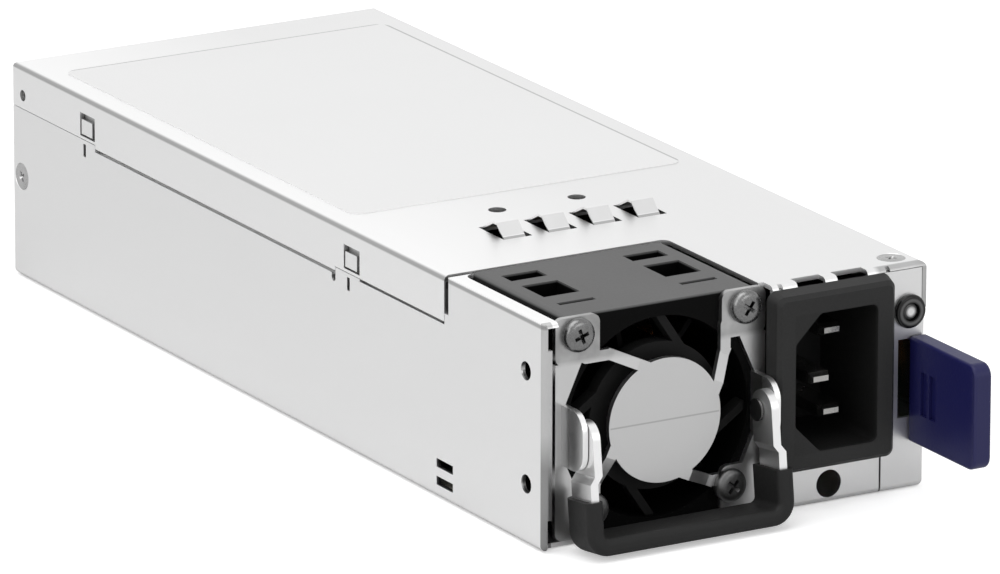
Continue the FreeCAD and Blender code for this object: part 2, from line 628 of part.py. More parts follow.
def fan_shaft():
    front = rotor_front()
    return rod_y(FAN_SHAFT_RADIUS, FAN_X, FAN_Z, front - 1.5, front + ROTOR_LENGTH - 0.6)


def ring_y(outer, inner, y0, y1):
    """A ring around the fan's axis."""
    return rod_y(outer, FAN_X, FAN_Z, y0, y1).cut(rod_y(inner, FAN_X, FAN_Z, y0 - 1, y1 + 1))


def fan_bearings():
    front = rotor_front()
    bore = FAN_SHAFT_RADIUS + SHAFT_CLEARANCE
    starts = (front - 0.6, front + 12.6 - FAN_BEARING_LENGTH)
    return group([ring_y(FAN_BEARING_RADIUS, bore, y, y + FAN_BEARING_LENGTH) for y in starts])


def fan_magnet():
    front = rotor_front()
    outer = ROTOR_CUP_RADIUS - ROTOR_CUP_WALL
    return ring_y(outer, outer - MAGNET_THICKNESS, front + 1.5, front + 13)


def stator_radii():
    """Inside and outside of the wound core, between bearing tube and magnet."""
    inner = FAN_BEARING_RADIUS + BEARING_TUBE_WALL
    outer = ROTOR_CUP_RADIUS - ROTOR_CUP_WALL - MAGNET_THICKNESS - 0.5
    return inner, outer


def fan_stator_core():
    inner, outer = stator_radii()
    y0 = rotor_front() + 4
    y1 = y0 + 7
    ring = ring_y(inner + 1.0, inner, y0, y1)
    poles = []
    for i in range(4):
        web = block(FAN_X - 0.9, FAN_X + 0.9, y0, y1, FAN_Z + inner + 0.5, FAN_Z + outer - 0.6)
        shoe = ring_y(outer, outer - 1.2, y0, y1).common(
            block(FAN_X - 4.6, FAN_X + 4.6, y0, y1, FAN_Z + inner, FAN_Z + outer + 1))
        for piece in (web, shoe):
            piece.rotate(Vector(FAN_X, 0, FAN_Z), Vector(0, 1, 0), 45 + 90 * i)
            poles.append(piece)
    return union([ring] + poles)


def fan_coils():
    inner, outer = stator_radii()
    y0 = rotor_front() + 4
    y1 = y0 + 7
    coils = []
    for i in range(4):
        wound = block(FAN_X - 2.1, FAN_X + 2.1, y0 - 1.1, y1 + 1.1, FAN_Z + inner + 1.3, FAN_Z + outer - 1.5)
        core = block(FAN_X - 0.9, FAN_X + 0.9, y0, y1, FAN_Z, FAN_Z + outer)
        coil = wound.cut(core)
        coil.rotate(Vector(FAN_X, 0, FAN_Z), Vector(0, 1, 0), 45 + 90 * i)
        coils.append(coil)
    return group(coils)


def fan_circuit_board():
    inner, outer = stator_radii()
    front = rotor_front()
    return ring_y(outer, inner, front + 0.4, front + 1.4)


# ---- finger guard, handle --------------------------------------------------------------------
def turned(x, z, degrees):
    """A point turned about the fan's axis, given by its distances right of the axis and above it."""
    a = math.radians(degrees)
    return FAN_X + x * math.cos(a) - z * math.sin(a), FAN_Z + x * math.sin(a) + z * math.cos(a)


def guard_arm(turn):
    """One arm of the pinwheel: flat out of its corner tab, then bent forward up to the disc."""
    rise = FAN_SIZE / 2 - 6.6
    start = turned(5.85 - GUARD_WIDTH / 2, rise, turn)
    bend = turned(10.35 - GUARD_WIDTH / 2, rise, turn)
    join = turned(-0.37 * GUARD_DISC / 2, 0.92 * GUARD_DISC / 2, turn)
    flat = bar_xz(start, bend, GUARD_ARM, GUARD_FRONT, GUARD_SHEET)
    run = math.hypot(join[0] - bend[0], join[1] - bend[1])
    raised = GUARD_FRONT - GUARD_DISC_PROUD
    front = [(-0.6, GUARD_FRONT), (0.6, GUARD_FRONT), (run - 1.2, raised), (run + 0.8, raised)]
    rear = [(x, y + GUARD_SHEET) for x, y in reversed(front)]
    slope = plate_xy(front + rear, -GUARD_ARM / 2, GUARD_ARM)
    heading = math.degrees(math.atan2(join[1] - bend[1], join[0] - bend[0]))
    slope.rotate(Vector(0, 0, 0), Vector(0, 1, 0), -heading)
    slope.translate(Vector(bend[0], 0, bend[1]))
    return [flat, slope]


def guard_ear():
    """Left ear: a tab with round corners, folded forward, that carries one end of the handle."""
    x = FAN_X - EAR_SPAN / 2
    ahead = PIVOT_Y - EAR_AHEAD
    ear = block(x, x + EAR_SHEET, ahead, FAN_FRONT, PIVOT_Z - EAR_RISE, PIVOT_Z + EAR_RISE)
    middle = x + EAR_SHEET / 2
    corners = [e for e in ear.Edges if near(e.CenterOfMass.y, ahead) and near(e.CenterOfMass.x, middle)]
    return ear.makeFillet(EAR_CORNER, corners)


def guard_band():
    """Left side band between the two corner tabs, with the slanted edges of the fan's opening."""
    outer = FAN_X - GUARD_WIDTH / 2
    corner = FAN_X - GUARD_WIDTH / 2 + 5.05
    inner = FAN_X - EAR_SPAN / 2 + 0.6
    points = [(outer, FAN_Z - 12), (corner, FAN_Z - 12), (inner, FAN_Z - 4.7),
              (inner, FAN_Z + 4.7), (corner, FAN_Z + 12), (outer, FAN_Z + 12)]
    return plate_xz(points, GUARD_FRONT, GUARD_SHEET)


def across_fan(shape):
    """The same shape on the other side of the fan's axis."""
    return shape.mirror(Vector(FAN_X, 0, 0), Vector(1, 0, 0))


def fan_guard():
    half = GUARD_WIDTH / 2
    tall = FAN_SIZE / 2
    tabs = []
    for low in (-tall, tall - GUARD_TAB + 0.4):
        high = low + GUARD_TAB - 0.4
        tabs.append(rounded_plate(FAN_X - half, FAN_X - half + GUARD_TAB, GUARD_FRONT, FAN_FRONT,
                                  FRAME_Z + low, FRAME_Z + high, 1.4))
    left = tabs + [guard_band(), guard_ear()]
    right = [across_fan(piece) for piece in left]
    raised = GUARD_FRONT - GUARD_DISC_PROUD
    disc = rod_y(GUARD_DISC / 2, FAN_X, FAN_Z, raised, raised + GUARD_SHEET)
    arms = [piece for turn in (0, 90, 180, 270) for piece in guard_arm(turn)]
    eyes = [rod_y(PAN_SHANK_RADIUS + 1.2, x, z, GUARD_FRONT, FAN_FRONT) for x, z in lower_corners()]
    guard = union(left + right + [disc] + arms + eyes)
    holes = [rod_y(PAN_SHANK_RADIUS, x, z, 0, FAN_FRONT + 1) for x, z in upper_corners() + lower_corners()]
    span = EAR_SPAN / 2
    holes += [rod_x(PIVOT_RADIUS, FAN_X + side * (span - EAR_SHEET / 2) - EAR_SHEET,
                    FAN_X + side * (span - EAR_SHEET / 2) + EAR_SHEET, PIVOT_Y, PIVOT_Z) for side in (-1, 1)]
    return guard.cut(holes)


def pan_screw(x, z):
    """Domed screw along +y with its head seated on the guard."""
    seat = GUARD_FRONT
    head = rod_y(PAN_HEAD_RADIUS, x, z, seat - PAN_HEAD_HEIGHT, seat)
    rim = [e for e in head.Edges if near(e.CenterOfMass.y, seat - PAN_HEAD_HEIGHT)]
    head = head.makeFillet(PAN_HEAD_HEIGHT / 2, rim)
    shank = rod_y(PAN_SHANK_RADIUS, x, z, seat - 0.5, FAN_FRONT + PAN_LENGTH)
    return head.fuse(shank).removeSplitter()


def guard_screws():
    return group([pan_screw(x, z) for x, z in upper_corners()])


def fan_screws():
    return group([pan_screw(x, z) for x, z in lower_corners()])


def lean_forward(shape):
    """Turn a piece of the handle from hanging straight down to where it rests."""
    shape.rotate(Vector(0, PIVOT_Y, PIVOT_Z), Vector(1, 0, 0), -HANDLE_TILT)
    return shape


def edges_along_y(shape, z):
    """Edges that run front to back at one height."""
    return [e for e in shape.Edges
            if near(e.CenterOfMass.z, z) and not near(e.Vertexes[0].Y, e.Vertexes[-1].Y)]


def handle_strap():
    """The steel bail, hanging straight down: a flat strap bent to a U, with round ends on its arms."""
    inner = STRAP_OUTER - STRAP_SHEET
    bottom = PIVOT_Z - STRAP_DROP
    top = PIVOT_Z + STRAP_ABOVE
    high, low = PIVOT_Z - STRAP_JOG_START, PIVOT_Z - STRAP_JOG_END
    outer = [(STRAP_OUTER, top), (STRAP_OUTER, high), (STRAP_OUTER + STRAP_JOG, low),
             (STRAP_OUTER + STRAP_JOG, bottom)]
    inside = [(inner + STRAP_JOG, bottom + STRAP_SHEET), (inner + STRAP_JOG, low),
              (inner, high), (inner, top)]
    right = [(FAN_X + x, z) for x, z in outer]
    left = [(FAN_X - x, z) for x, z in reversed(outer)]
    hollow = [(FAN_X - x, z) for x, z in reversed(inside)] + [(FAN_X + x, z) for x, z in inside]
    bail = plate_xz(right + left + hollow, PIVOT_Y - 10, 20)
    bail = bail.makeFillet(3.2, edges_along_y(bail, bottom))
    bail = bail.makeFillet(1.4, edges_along_y(bail, bottom + STRAP_SHEET))
    reach = (FAN_X - STRAP_OUTER - 5, FAN_X + STRAP_OUTER + 5)
    rear = PIVOT_Y + STRAP_BEHIND
    arm = block(*reach, rear - STRAP_WIDTH, rear, bottom - 1, top)
    arm = arm.makeFillet(STRAP_WIDTH / 2 - 0.01, [e for e in arm.Edges if near(e.CenterOfMass.z, top)
                                                  and near(e.Vertexes[0].Y, e.Vertexes[-1].Y)])
    holes = rod_x(PIVOT_RADIUS + PIVOT_CLEARANCE, *reach, PIVOT_Y, PIVOT_Z)
    return bail.common(arm).cut(holes)


def handle_grip(strap):
    """The rubber moulded over the lower part of the strap, hanging straight down like it."""
    wide = STRAP_OUTER + STRAP_JOG
    outer = wide + GRIP_OUTSIDE
    inner = wide - STRAP_SHEET - GRIP_INSIDE
    front = PIVOT_Y + STRAP_BEHIND - STRAP_WIDTH - GRIP_AHEAD
    rear = PIVOT_Y + STRAP_BEHIND + GRIP_BEHIND
    bottom = PIVOT_Z - STRAP_DROP - GRIP_UNDER
    top = bottom + GRIP_LENGTH
    body = block(FAN_X - outer, FAN_X + outer, front, rear, bottom, top)
    body = body.makeFillet(GRIP_CORNER, edges_along_y(body, bottom))
    hollow = block(FAN_X - inner, FAN_X + inner, front - 1, rear + 1, bottom + GRIP_BAR, top + 1)
    grip = body.cut(hollow.makeFillet(1.0, edges_along_y(hollow, bottom + GRIP_BAR)))
    rims = [e for e in grip.Edges
            if all(near(v.Y, front) for v in e.Vertexes) and not near(e.CenterOfMass.z, top)]
    grip = grip.makeFillet(GRIP_EDGE, rims)
    heel = [e for e in grip.Edges if near(e.CenterOfMass.z, bottom) and near(e.CenterOfMass.y, rear)]
    grip = grip.makeFillet(GRIP_HEEL, heel)
    beside_inlet = block(FAN_X + wide, FAN_X + outer + 1, rear - GRIP_NOTCH_DEPTH, rear + 1,
                         PIVOT_Z - GRIP_NOTCH, top + 1)
    return grip.cut([beside_inlet, strap])


def handle_rivets():
    """Pivot pins, flush with the outer face of each ear, with a low head inside each arm."""
    outer = EAR_SPAN / 2
    inner = STRAP_OUTER - STRAP_SHEET - STRAP_GAP
    rivets = []
    for side in (-1, 1):
        shank = rod(PIVOT_RADIUS, (FAN_X + side * outer, PIVOT_Y, PIVOT_Z), (-side, 0, 0), outer - inner)
        head = rod(PIVOT_RADIUS + RIVET_HEAD, (FAN_X + side * inner, PIVOT_Y, PIVOT_Z),
                   (-side, 0, 0), RIVET_HEAD)
        rivets.append(shank.fuse(head).removeSplitter())
    return group(rivets)


# ---- mains inlet -----------------------------------------------------------------------------
def inlet_mouth(y0, y1):
    """The socket's hollow: square corners on the right, cut corners on the earth side."""
    w, h, c = INLET_MOUTH_WIDTH / 2, INLET_MOUTH_TALL / 2, INLET_MOUTH_CHAMFER
    points = [(INLET_X + w, INLET_HEIGHT - h), (INLET_X + w, INLET_HEIGHT + h),
              (INLET_X - w + c, INLET_HEIGHT + h), (INLET_X - w, INLET_HEIGHT + h - c),
              (INLET_X - w, INLET_HEIGHT - h + c), (INLET_X - w + c, INLET_HEIGHT - h)]
    mouth = plate_xz(points, y0, y1 - y0)
    return mouth.makeFillet(1.2, [e for e in mouth.Edges if not near(e.Vertexes[0].Y, e.Vertexes[1].Y)])


def flange_outline(inset, y, radius):
    """Round-cornered outline of the inlet's flange, drawn in by the inset."""
    x0, x1 = INLET_X - INLET_FLANGE_LEFT + inset, INLET_X + INLET_FLANGE_RIGHT - inset
    z0, z1 = INLET_HEIGHT - INLET_FLANGE_DOWN + inset, INLET_HEIGHT + INLET_FLANGE_UP - inset
    edges = []
    for x, z, start in ((x1, z1, 0), (x0, z1, 90), (x0, z0, 180), (x1, z0, 270)):
        middle = Vector(x - math.copysign(radius, x - INLET_X), y,
                        z - math.copysign(radius, z - INLET_HEIGHT))
        arc = [middle + Vector(math.cos(math.radians(a)), 0, math.sin(math.radians(a))) * radius
               for a in (start, start + 45, start + 90)]
        if edges:
            edges.append(Part.makeLine(edges[-1].Vertexes[-1].Point, arc[0]))
        edges.append(Part.Arc(*arc).toShape())
    edges.append(Part.makeLine(edges[-1].Vertexes[-1].Point, edges[0].Vertexes[0].Point))
    return Part.Wire(edges)


def inlet_housing():
    flange = Part.makeLoft([flange_outline(0, 0, 1.8),
                            flange_outline(INLET_DRAFT, INLET_EDGE - INLET_PROUD, 1.4),
                            flange_outline(INLET_DRAFT + INLET_EDGE, -INLET_PROUD, 0.9)], True, True)
    body_w = INLET_MOUTH_WIDTH / 2 + INLET_WALL
    body_h = INLET_MOUTH_TALL / 2 + INLET_WALL
    floor = INLET_MOUTH_DEPTH - INLET_PROUD
    body = block(INLET_X - body_w, INLET_X + body_w, -0.5, floor + 3.5,
                 INLET_HEIGHT - body_h, INLET_HEIGHT + body_h)
    snaps = []
    for offset, width in SNAPS:
        x = INLET_X + offset
        ramp = [(SHEET + SEAT_GAP, CASE_HEIGHT - SHEET - 0.4), (SHEET + SEAT_GAP, INLET_HEIGHT + body_h - 1),
                (9.0, INLET_HEIGHT + body_h - 1), (9.0, INLET_HEIGHT + body_h + 0.1)]
        snaps.append(plate_yz(ramp, x - width / 2 + 0.5, width - 1))
    housing = union([flange, body] + snaps)
    cuts = [inlet_mouth(-INLET_PROUD - 1, floor)]
    cuts += [pin(*place) for place in pin_places()]
    return housing.cut(cuts)


def pin_places():
    """x and z of each pin, and how much further forward it reaches than the shortest."""
    side = PIN_OFFSET
    return ((INLET_X + side, INLET_HEIGHT + PIN_SPACING / 2, 0.0),
            (INLET_X + side, INLET_HEIGHT - PIN_SPACING / 2, 0.0),
            (INLET_X - side, INLET_HEIGHT, EARTH_LONGER))


def pin(x, z, longer):
    """One flat pin with a tapered tip, through the socket's floor to a soldering tail."""
    tip = PIN_RECESS - INLET_PROUD - longer
    floor = INLET_MOUTH_DEPTH - INLET_PROUD
    blade = block(x - PIN_WIDTH / 2, x + PIN_WIDTH / 2, tip, floor + 3.5 + PIN_TAIL,
                  z - PIN_THICKNESS / 2, z + PIN_THICKNESS / 2)
    tip_edges = [e for e in blade.Edges if all(near(v.Y, tip) for v in e.Vertexes)]
    return blade.makeChamfer(0.55, tip_edges)


# ---- status light ----------------------------------------------------------------------------
def status_light_ring():
    """Black bezel: a turned ring with a round nose, its neck through the front wall."""
    outer, inner, neck = LIGHT_RING_RADIUS, LIGHT_LENS_RADIUS + 0.05, LIGHT_HOLE_RADIUS
    ring = rod_y(outer, LIGHT_X, LIGHT_Z, -LIGHT_RING_PROUD, 0)
    nose = [e for e in ring.Edges if near(e.CenterOfMass.y, -LIGHT_RING_PROUD)]
    ring = ring.makeFillet(0.5, nose).fuse(rod_y(neck, LIGHT_X, LIGHT_Z, -0.2, 3.0))
    return ring.cut(rod_y(inner, LIGHT_X, LIGHT_Z, -2, 4)).removeSplitter()


def light_pipe_end():
    return LATCH_LENGTH + ANCHOR_LENGTH + 1


def status_light_pipe():
    """Clear rod that carries the light forward, with a domed face in the ring."""
    nose = 0.3 - LIGHT_RING_PROUD
    pipe = rod_y(LIGHT_LENS_RADIUS, LIGHT_X, LIGHT_Z, nose, light_pipe_end())
    return pipe.makeFillet(0.6, [e for e in pipe.Edges if near(e.CenterOfMass.y, nose)])


def status_diode():
    y0 = light_pipe_end() + 0.3
    return rod_y(LIGHT_LENS_RADIUS, LIGHT_X, LIGHT_Z, y0, y0 + 4).fuse(
        rod_y(LIGHT_LENS_RADIUS + 0.15, LIGHT_X, LIGHT_Z, y0 + 4, y0 + 5)).removeSplitter()


# ---- release latch ---------------------------------------------------------------------------
def catch_bottom():
    return LATCH_BOTTOM + (LATCH_TALL - CATCH_TALL) / 2


def latch_rivet_places():
    return (LATCH_LENGTH + 0.3 * ANCHOR_LENGTH, LATCH_LENGTH + 0.75 * ANCHOR_LENGTH)


def latch_leaf():
    """Spring leaf along the right wall, with the wedge that catches in the server's bay."""
    outer = LEAF_X + LATCH_SHEET
    leaf = block(LEAF_X, outer, -TAB_GAP - TAB_SOCKET, LATCH_LENGTH - LATCH_ROOT_GAP,
                 LATCH_BOTTOM, LATCH_BOTTOM + LATCH_TALL)
    tip = CASE_WIDTH + LATCH_BITE
    wedge = plate_xy([(outer - 0.1, CATCH_FRONT), (tip, CATCH_FRONT), (tip, CATCH_FRONT + 1.6),
                      (outer - 0.1, CATCH_FRONT + CATCH_LENGTH)], catch_bottom(), CATCH_TALL)
    return union([leaf, wedge])


def release_tab(leaf):
    """The coloured thumb tab, moulded over the leaf's front end."""
    x0, x1 = CASE_WIDTH - TAB_THICKNESS, CASE_WIDTH
    y0, y1 = -TAB_GAP - TAB_LENGTH, -TAB_GAP
    tab = block(x0, x1, y0, y1, TAB_BOTTOM, TAB_BOTTOM + TAB_TALL)
    corners = [e for e in tab.Edges
               if near(e.CenterOfMass.y, y0) and abs(e.Vertexes[0].X - e.Vertexes[1].X) > 1]
    tab = tab.makeFillet(TAB_CORNER, corners)
    rims = [e for e in tab.Edges if any(all(near(v.X, x) for v in e.Vertexes) for x in (x0, x1))
            and not near(e.CenterOfMass.y, y1)]
    tab = tab.makeFillet(0.5, rims)
    well = block(x0 - 1, x0 + 0.6, y1 - 8.0, y1 - 3.4, TAB_BOTTOM + 5.4, TAB_BOTTOM + 13.0)
    rib = block(x0, x0 + 0.6, y1 - 6.1, y1 - 5.3, TAB_BOTTOM + 5.4, TAB_BOTTOM + 13.0)
    return tab.cut(well).fuse(rib).removeSplitter().cut(leaf)


def latch_anchor():
    """Root of the leaf, riveted flat to the right wall."""
    plate = block(LEAF_X, CASE_WIDTH - SHEET, LATCH_LENGTH + LATCH_ROOT_GAP, LATCH_LENGTH + ANCHOR_LENGTH,
                  LATCH_BOTTOM - 1, LATCH_BOTTOM + LATCH_TALL + 1)
    z = LATCH_BOTTOM + LATCH_TALL / 2
    return plate.cut([rod_x(1.2, LEAF_X - 1, CASE_WIDTH, y, z) for y in latch_rivet_places()])


def latch_rivets():
    z = LATCH_BOTTOM + LATCH_TALL / 2
    rivets = []
    for y in latch_rivet_places():
        head = rod_x(1.7, LEAF_X - 0.7, LEAF_X, y, z)
        rivets.append(head.fuse(rod_x(1.2, LEAF_X - 0.1, CASE_WIDTH, y, z)).removeSplitter())
    return group(rivets)


# ---- circuit board ---------------------------------------------------------------------------
def standoff_places():
    x0, x1 = BOARD_MARGIN + STANDOFF_INSET, CASE_WIDTH - BOARD_MARGIN - STANDOFF_INSET
    y0, y1 = BOARD_FRONT + STANDOFF_INSET, BOARD_REAR - STANDOFF_INSET
    return [(x, y) for x in (x0, x1) for y in (y0, y1)]


def main_circuit_board():
    """The long board, its rear tongue being the plug that meets the server."""
    board = block(BOARD_MARGIN, CASE_WIDTH - BOARD_MARGIN, BOARD_FRONT, BOARD_REAR, BOARD_HEIGHT, BOARD_TOP)
    middle = CASE_WIDTH / 2
    tongue = block(middle - TONGUE_WIDTH / 2, middle + TONGUE_WIDTH / 2, BOARD_REAR - 1,
                   CASE_LENGTH + TONGUE_PROUD, BOARD_HEIGHT, BOARD_TOP)
    end = [e for e in tongue.Edges if all(near(v.Y, CASE_LENGTH + TONGUE_PROUD) for v in e.Vertexes)
           and abs(e.Vertexes[0].X - e.Vertexes[1].X) > 1]
    tongue = tongue.makeChamfer(0.4, end)
    key_x = middle + 4.5 * CONTACT_PITCH
    key = block(key_x - 0.6, key_x + 0.6, CASE_LENGTH + TONGUE_PROUD - 7.5, CASE_LENGTH + TONGUE_PROUD + 1,
                BOARD_HEIGHT - 1, BOARD_TOP + 1)
    holes = [rod_z(1.5, x, y, BOARD_HEIGHT - 1, BOARD_TOP + 1) for x, y in standoff_places()]
    return union([board, tongue]).cut([key] + holes)


def edge_contacts():
    """Gold fingers on both faces of the tongue, leaving out the place of the key slot."""
    middle = CASE_WIDTH / 2
    y1 = CASE_LENGTH + TONGUE_PROUD - 0.6
    fingers = []
    for i in range(CONTACTS):
        x = middle + (i - (CONTACTS - 1) / 2) * CONTACT_PITCH
        if abs(x - middle - 4.5 * CONTACT_PITCH) < CONTACT_PITCH / 2:
            continue
        for z in (BOARD_TOP, BOARD_HEIGHT - CONTACT_THICKNESS):
            fingers.append(block(x - CONTACT_WIDTH / 2, x + CONTACT_WIDTH / 2, y1 - CONTACT_LENGTH, y1,
                                 z, z + CONTACT_THICKNESS))
    return group(fingers)


def insulation_sheet():
    z = SHEET
    sheet = block(BOARD_MARGIN - 1, CASE_WIDTH - BOARD_MARGIN + 1, BOARD_FRONT, BOARD_REAR, z, z + INSULATION)
    return sheet.cut([rod_z(STANDOFF_RADIUS + 0.3, x, y, 0, 3) for x, y in standoff_places()])


def board_standoffs():
    posts = []
    for x, y in standoff_places():
        post = rod_z(STANDOFF_RADIUS, x, y, SHEET, BOARD_HEIGHT)
        posts.append(post.cut(rod_z(1.4, x, y, SHEET + 1, BOARD_HEIGHT + 1)))
    return group(posts)


def board_screws():
    screws = []
    for x, y in standoff_places():
        head = rod_z(2.6, x, y, BOARD_TOP, BOARD_TOP + 1.6)
        screws.append(head.fuse(rod_z(1.4, x, y, BOARD_HEIGHT - 3.5, BOARD_TOP + 0.5)).removeSplitter())
    return group(screws)


def turned_section(points, origin, axis, side):
    """A solid of revolution: each point gives a distance out from the axis and a place along it."""
    corners = [origin + side * out + axis * along for out, along in points]
    face = Part.Face(Part.makePolygon(corners + corners[:1]))
    return face.revolve(origin, axis, 360)


def line_choke():
    """Wound ring core, standing flat on the board, with bevelled edges."""
    inner, outer, tall, bevel = 2.8, 11.2, 8.4, 2.2
    section = [(inner + bevel, 0), (outer - bevel, 0), (outer, bevel), (outer, tall - bevel),
               (outer - bevel, tall), (inner + bevel, tall), (inner, tall - bevel), (inner, bevel)]
    origin = Vector(INLET_X - 2, BOARD_FRONT + 13.5, BOARD_TOP)
    return turned_section(section, origin, Vector(0, 0, 1), Vector(1, 0, 0))


def line_capacitor():
    box = block(INLET_X - 30, INLET_X - 16, BOARD_FRONT + 7, BOARD_FRONT + 15, BOARD_TOP, BOARD_TOP + 15)
    return box.makeFillet(0.8, [e for e in box.Edges if abs(e.Vertexes[0].Z - e.Vertexes[1].Z) > 1])


def line_fuse():
    y = BOARD_FRONT + 19.5
    x0 = INLET_X - 33
    z = BOARD_TOP + 2.7
    glass = rod_x(2.4, x0 + 4, x0 + 16, y, z)
    caps = [rod_x(2.7, x0, x0 + 4, y, z), rod_x(2.7, x0 + 16, x0 + 20, y, z)]
    return union([glass] + caps)


def bulk_front():
    return BOARD_FRONT + 26


def bulk_capacitor():
    """The large storage capacitor, lying along the case on the left."""
    x = BOARD_MARGIN + BULK_RADIUS + 1.2
    z = BOARD_TOP + BULK_RADIUS
    y = bulk_front()
    r, end = BULK_RADIUS, BULK_LENGTH
    section = [(0, 0), (r - 1, 0), (r, 1), (r, 3.7), (r - 0.7, 4.5), (r, 5.3),
               (r, end - 1), (r - 1, end), (0, end)]
    return turned_section(section, Vector(x, y, z), Vector(0, 1, 0), Vector(0, 0, 1))


def wound_block(x0, x1, y0, y1, height, coil):
    """A square core with a round winding that shows on two sides: returns core and winding."""
    core = block(x0, x1, y0, y1, BOARD_TOP, BOARD_TOP + height)
    xm, ym = (x0 + x1) / 2, (y0 + y1) / 2
    window = block(x0 - 1, x1 + 1, y0 + 3.5, y1 - 3.5, BOARD_TOP + 3.5, BOARD_TOP + height - 3.5)
    post = rod_z(coil - 3, xm, ym, BOARD_TOP + 3, BOARD_TOP + height - 3)
    core = core.cut(window.cut(post))
    winding = rod_z(coil, xm, ym, BOARD_TOP + 4, BOARD_TOP + height - 4)
    keep = block(x0 - 2, x1 + 2, y0 + 3.7, y1 - 3.7, BOARD_TOP, BOARD_TOP + height)
    winding = winding.common(keep).cut(rod_z(coil - 3, xm, ym, BOARD_TOP, BOARD_TOP + height))
    return core.removeSplitter(), winding


def boost_choke():
    x1 = CASE_WIDTH - BOARD_MARGIN - 6
    y0 = bulk_front() + 2
    return wound_block(x1 - 25, x1, y0, y0 + 24, 24, 10.5)


def transformer():
    y0 = bulk_front() + BULK_LENGTH + 6
    x0 = BOARD_MARGIN + 4
    return wound_block(x0, x0 + 32, y0, y0 + 28, 26, 12.5)


def heat_sink(x0, x1, y0, length, fins):
    """A foot with upright fins, as extruded along the case."""
    foot = block(x0, x1, y0, y0 + length, BOARD_TOP, BOARD_TOP + 3)
    pitch = (x1 - x0 - 1.2) / (fins - 1)
    blades = [block(x0 + i * pitch, x0 + i * pitch + 1.2, y0, y0 + length, BOARD_TOP + 2, BOARD_TOP + 26)
              for i in range(fins)]
    return union([foot] + blades)


def primary_heat_sink():
    x1 = CASE_WIDTH - BOARD_MARGIN - 8
    return heat_sink(x1 - 20, x1, bulk_front() + 30, 30, 5)


def secondary_heat_sink():
    x1 = CASE_WIDTH - BOARD_MARGIN - 8
    return heat_sink(x1 - 20, x1, bulk_front() + BULK_LENGTH + 20, 26, 5)


def power_transistors():
    """Flat power packages stood against the left fin of each heat sink."""
    x1 = CASE_WIDTH - BOARD_MARGIN - 28
    starts = [bulk_front() + 31, bulk_front() + BULK_LENGTH + 36]
    return group([block(x1 - 2.4, x1, y, y + 10, BOARD_TOP + 4, BOARD_TOP + 19) for y in starts])


def output_capacitors():
    y = BOARD_REAR - 15
    xs = [BOARD_MARGIN + 16 + 9.6 * i for i in range(5)]
    return group([rod_z(4.0, x, y, BOARD_TOP, BOARD_TOP + 16) for x in xs])


def control_board():
    """Upright card behind the latch, which also carries the status diode."""
    x1 = LIGHT_X - LIGHT_LENS_RADIUS - 0.3
    y0 = light_pipe_end() + 0.3
    return block(x1 - 1.2, x1, y0, y0 + 56, BOARD_TOP, CASE_HEIGHT - 5)


def build():
    os.makedirs("parts", exist_ok=True)
    strap = handle_strap()
    grip = handle_grip(strap)
    leaf = latch_leaf()
    choke_core, choke_winding = boost_choke()
    core, winding = transformer()
    pieces = {
        "chassis_tray": chassis_tray(),
        "top_cover": top_cover(),
        "rear_panel": rear_panel(),
        "case_screws": case_screws(),
        "fan_frame": fan_frame(),
        "fan_rotor": fan_rotor(),
        "fan_shaft": fan_shaft(),
        "fan_bearings": fan_bearings(),
        "fan_magnet": fan_magnet(),
        "fan_stator_core": fan_stator_core(),
        "fan_coils": fan_coils(),
        "fan_circuit_board": fan_circuit_board(),
        "fan_guard": fan_guard(),
        "guard_screws": guard_screws(),
        "fan_screws": fan_screws(),
        "handle_strap": lean_forward(strap),
        "handle_grip": lean_forward(grip),
        "handle_rivets": handle_rivets(),
        "inlet_housing": inlet_housing(),
        "status_light_ring": status_light_ring(),
        "status_light_pipe": status_light_pipe(),
        "status_diode": status_diode(),
        "latch_leaf": leaf,
        "release_tab": release_tab(leaf),
        "latch_anchor": latch_anchor(),
        "latch_rivets": latch_rivets(),
        "main_circuit_board": main_circuit_board(),
        "edge_contacts": edge_contacts(),
        "insulation_sheet": insulation_sheet(),
        "board_standoffs": board_standoffs(),
        "board_screws": board_screws(),
        "line_choke": line_choke(),
        "line_capacitor": line_capacitor(),
        "line_fuse": line_fuse(),
        "bulk_capacitor": bulk_capacitor(),
        "boost_choke_core": choke_core,
        "boost_choke_winding": choke_winding,
        "transformer_core": core,
        "transformer_winding": winding,
        "primary_heat_sink": primary_heat_sink(),
        "secondary_heat_sink": secondary_heat_sink(),
        "power_transistors": power_transistors(),
        "output_capacitors": output_capacitors(),
        "control_board": control_board(),
    }
    for name, place in zip(("line_pin", "neutral_pin", "earth_pin"), pin_places()):
        pieces["inlet_" + name] = pin(*place)
    for name, shape in pieces.items():
        save(name, shape)
        print(name, len(shape.Solids), "valid" if shape.isValid() else "NOT VALID", round(shape.Volume, 1))


build()
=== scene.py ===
# %% [markdown]
# # Hot swap server power supply
# A slim module that slides into a server: folded steel case, guarded fan, pull handle, mains inlet, blue
# release tab and a rear tongue with gold contacts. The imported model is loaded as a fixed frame, and every
# finish and small fitting is added around it. Lengths are in metres, except in the tables whose comment
# says millimetres, and +Y runs from the fan to the rear.

# %% Load the frame
import math

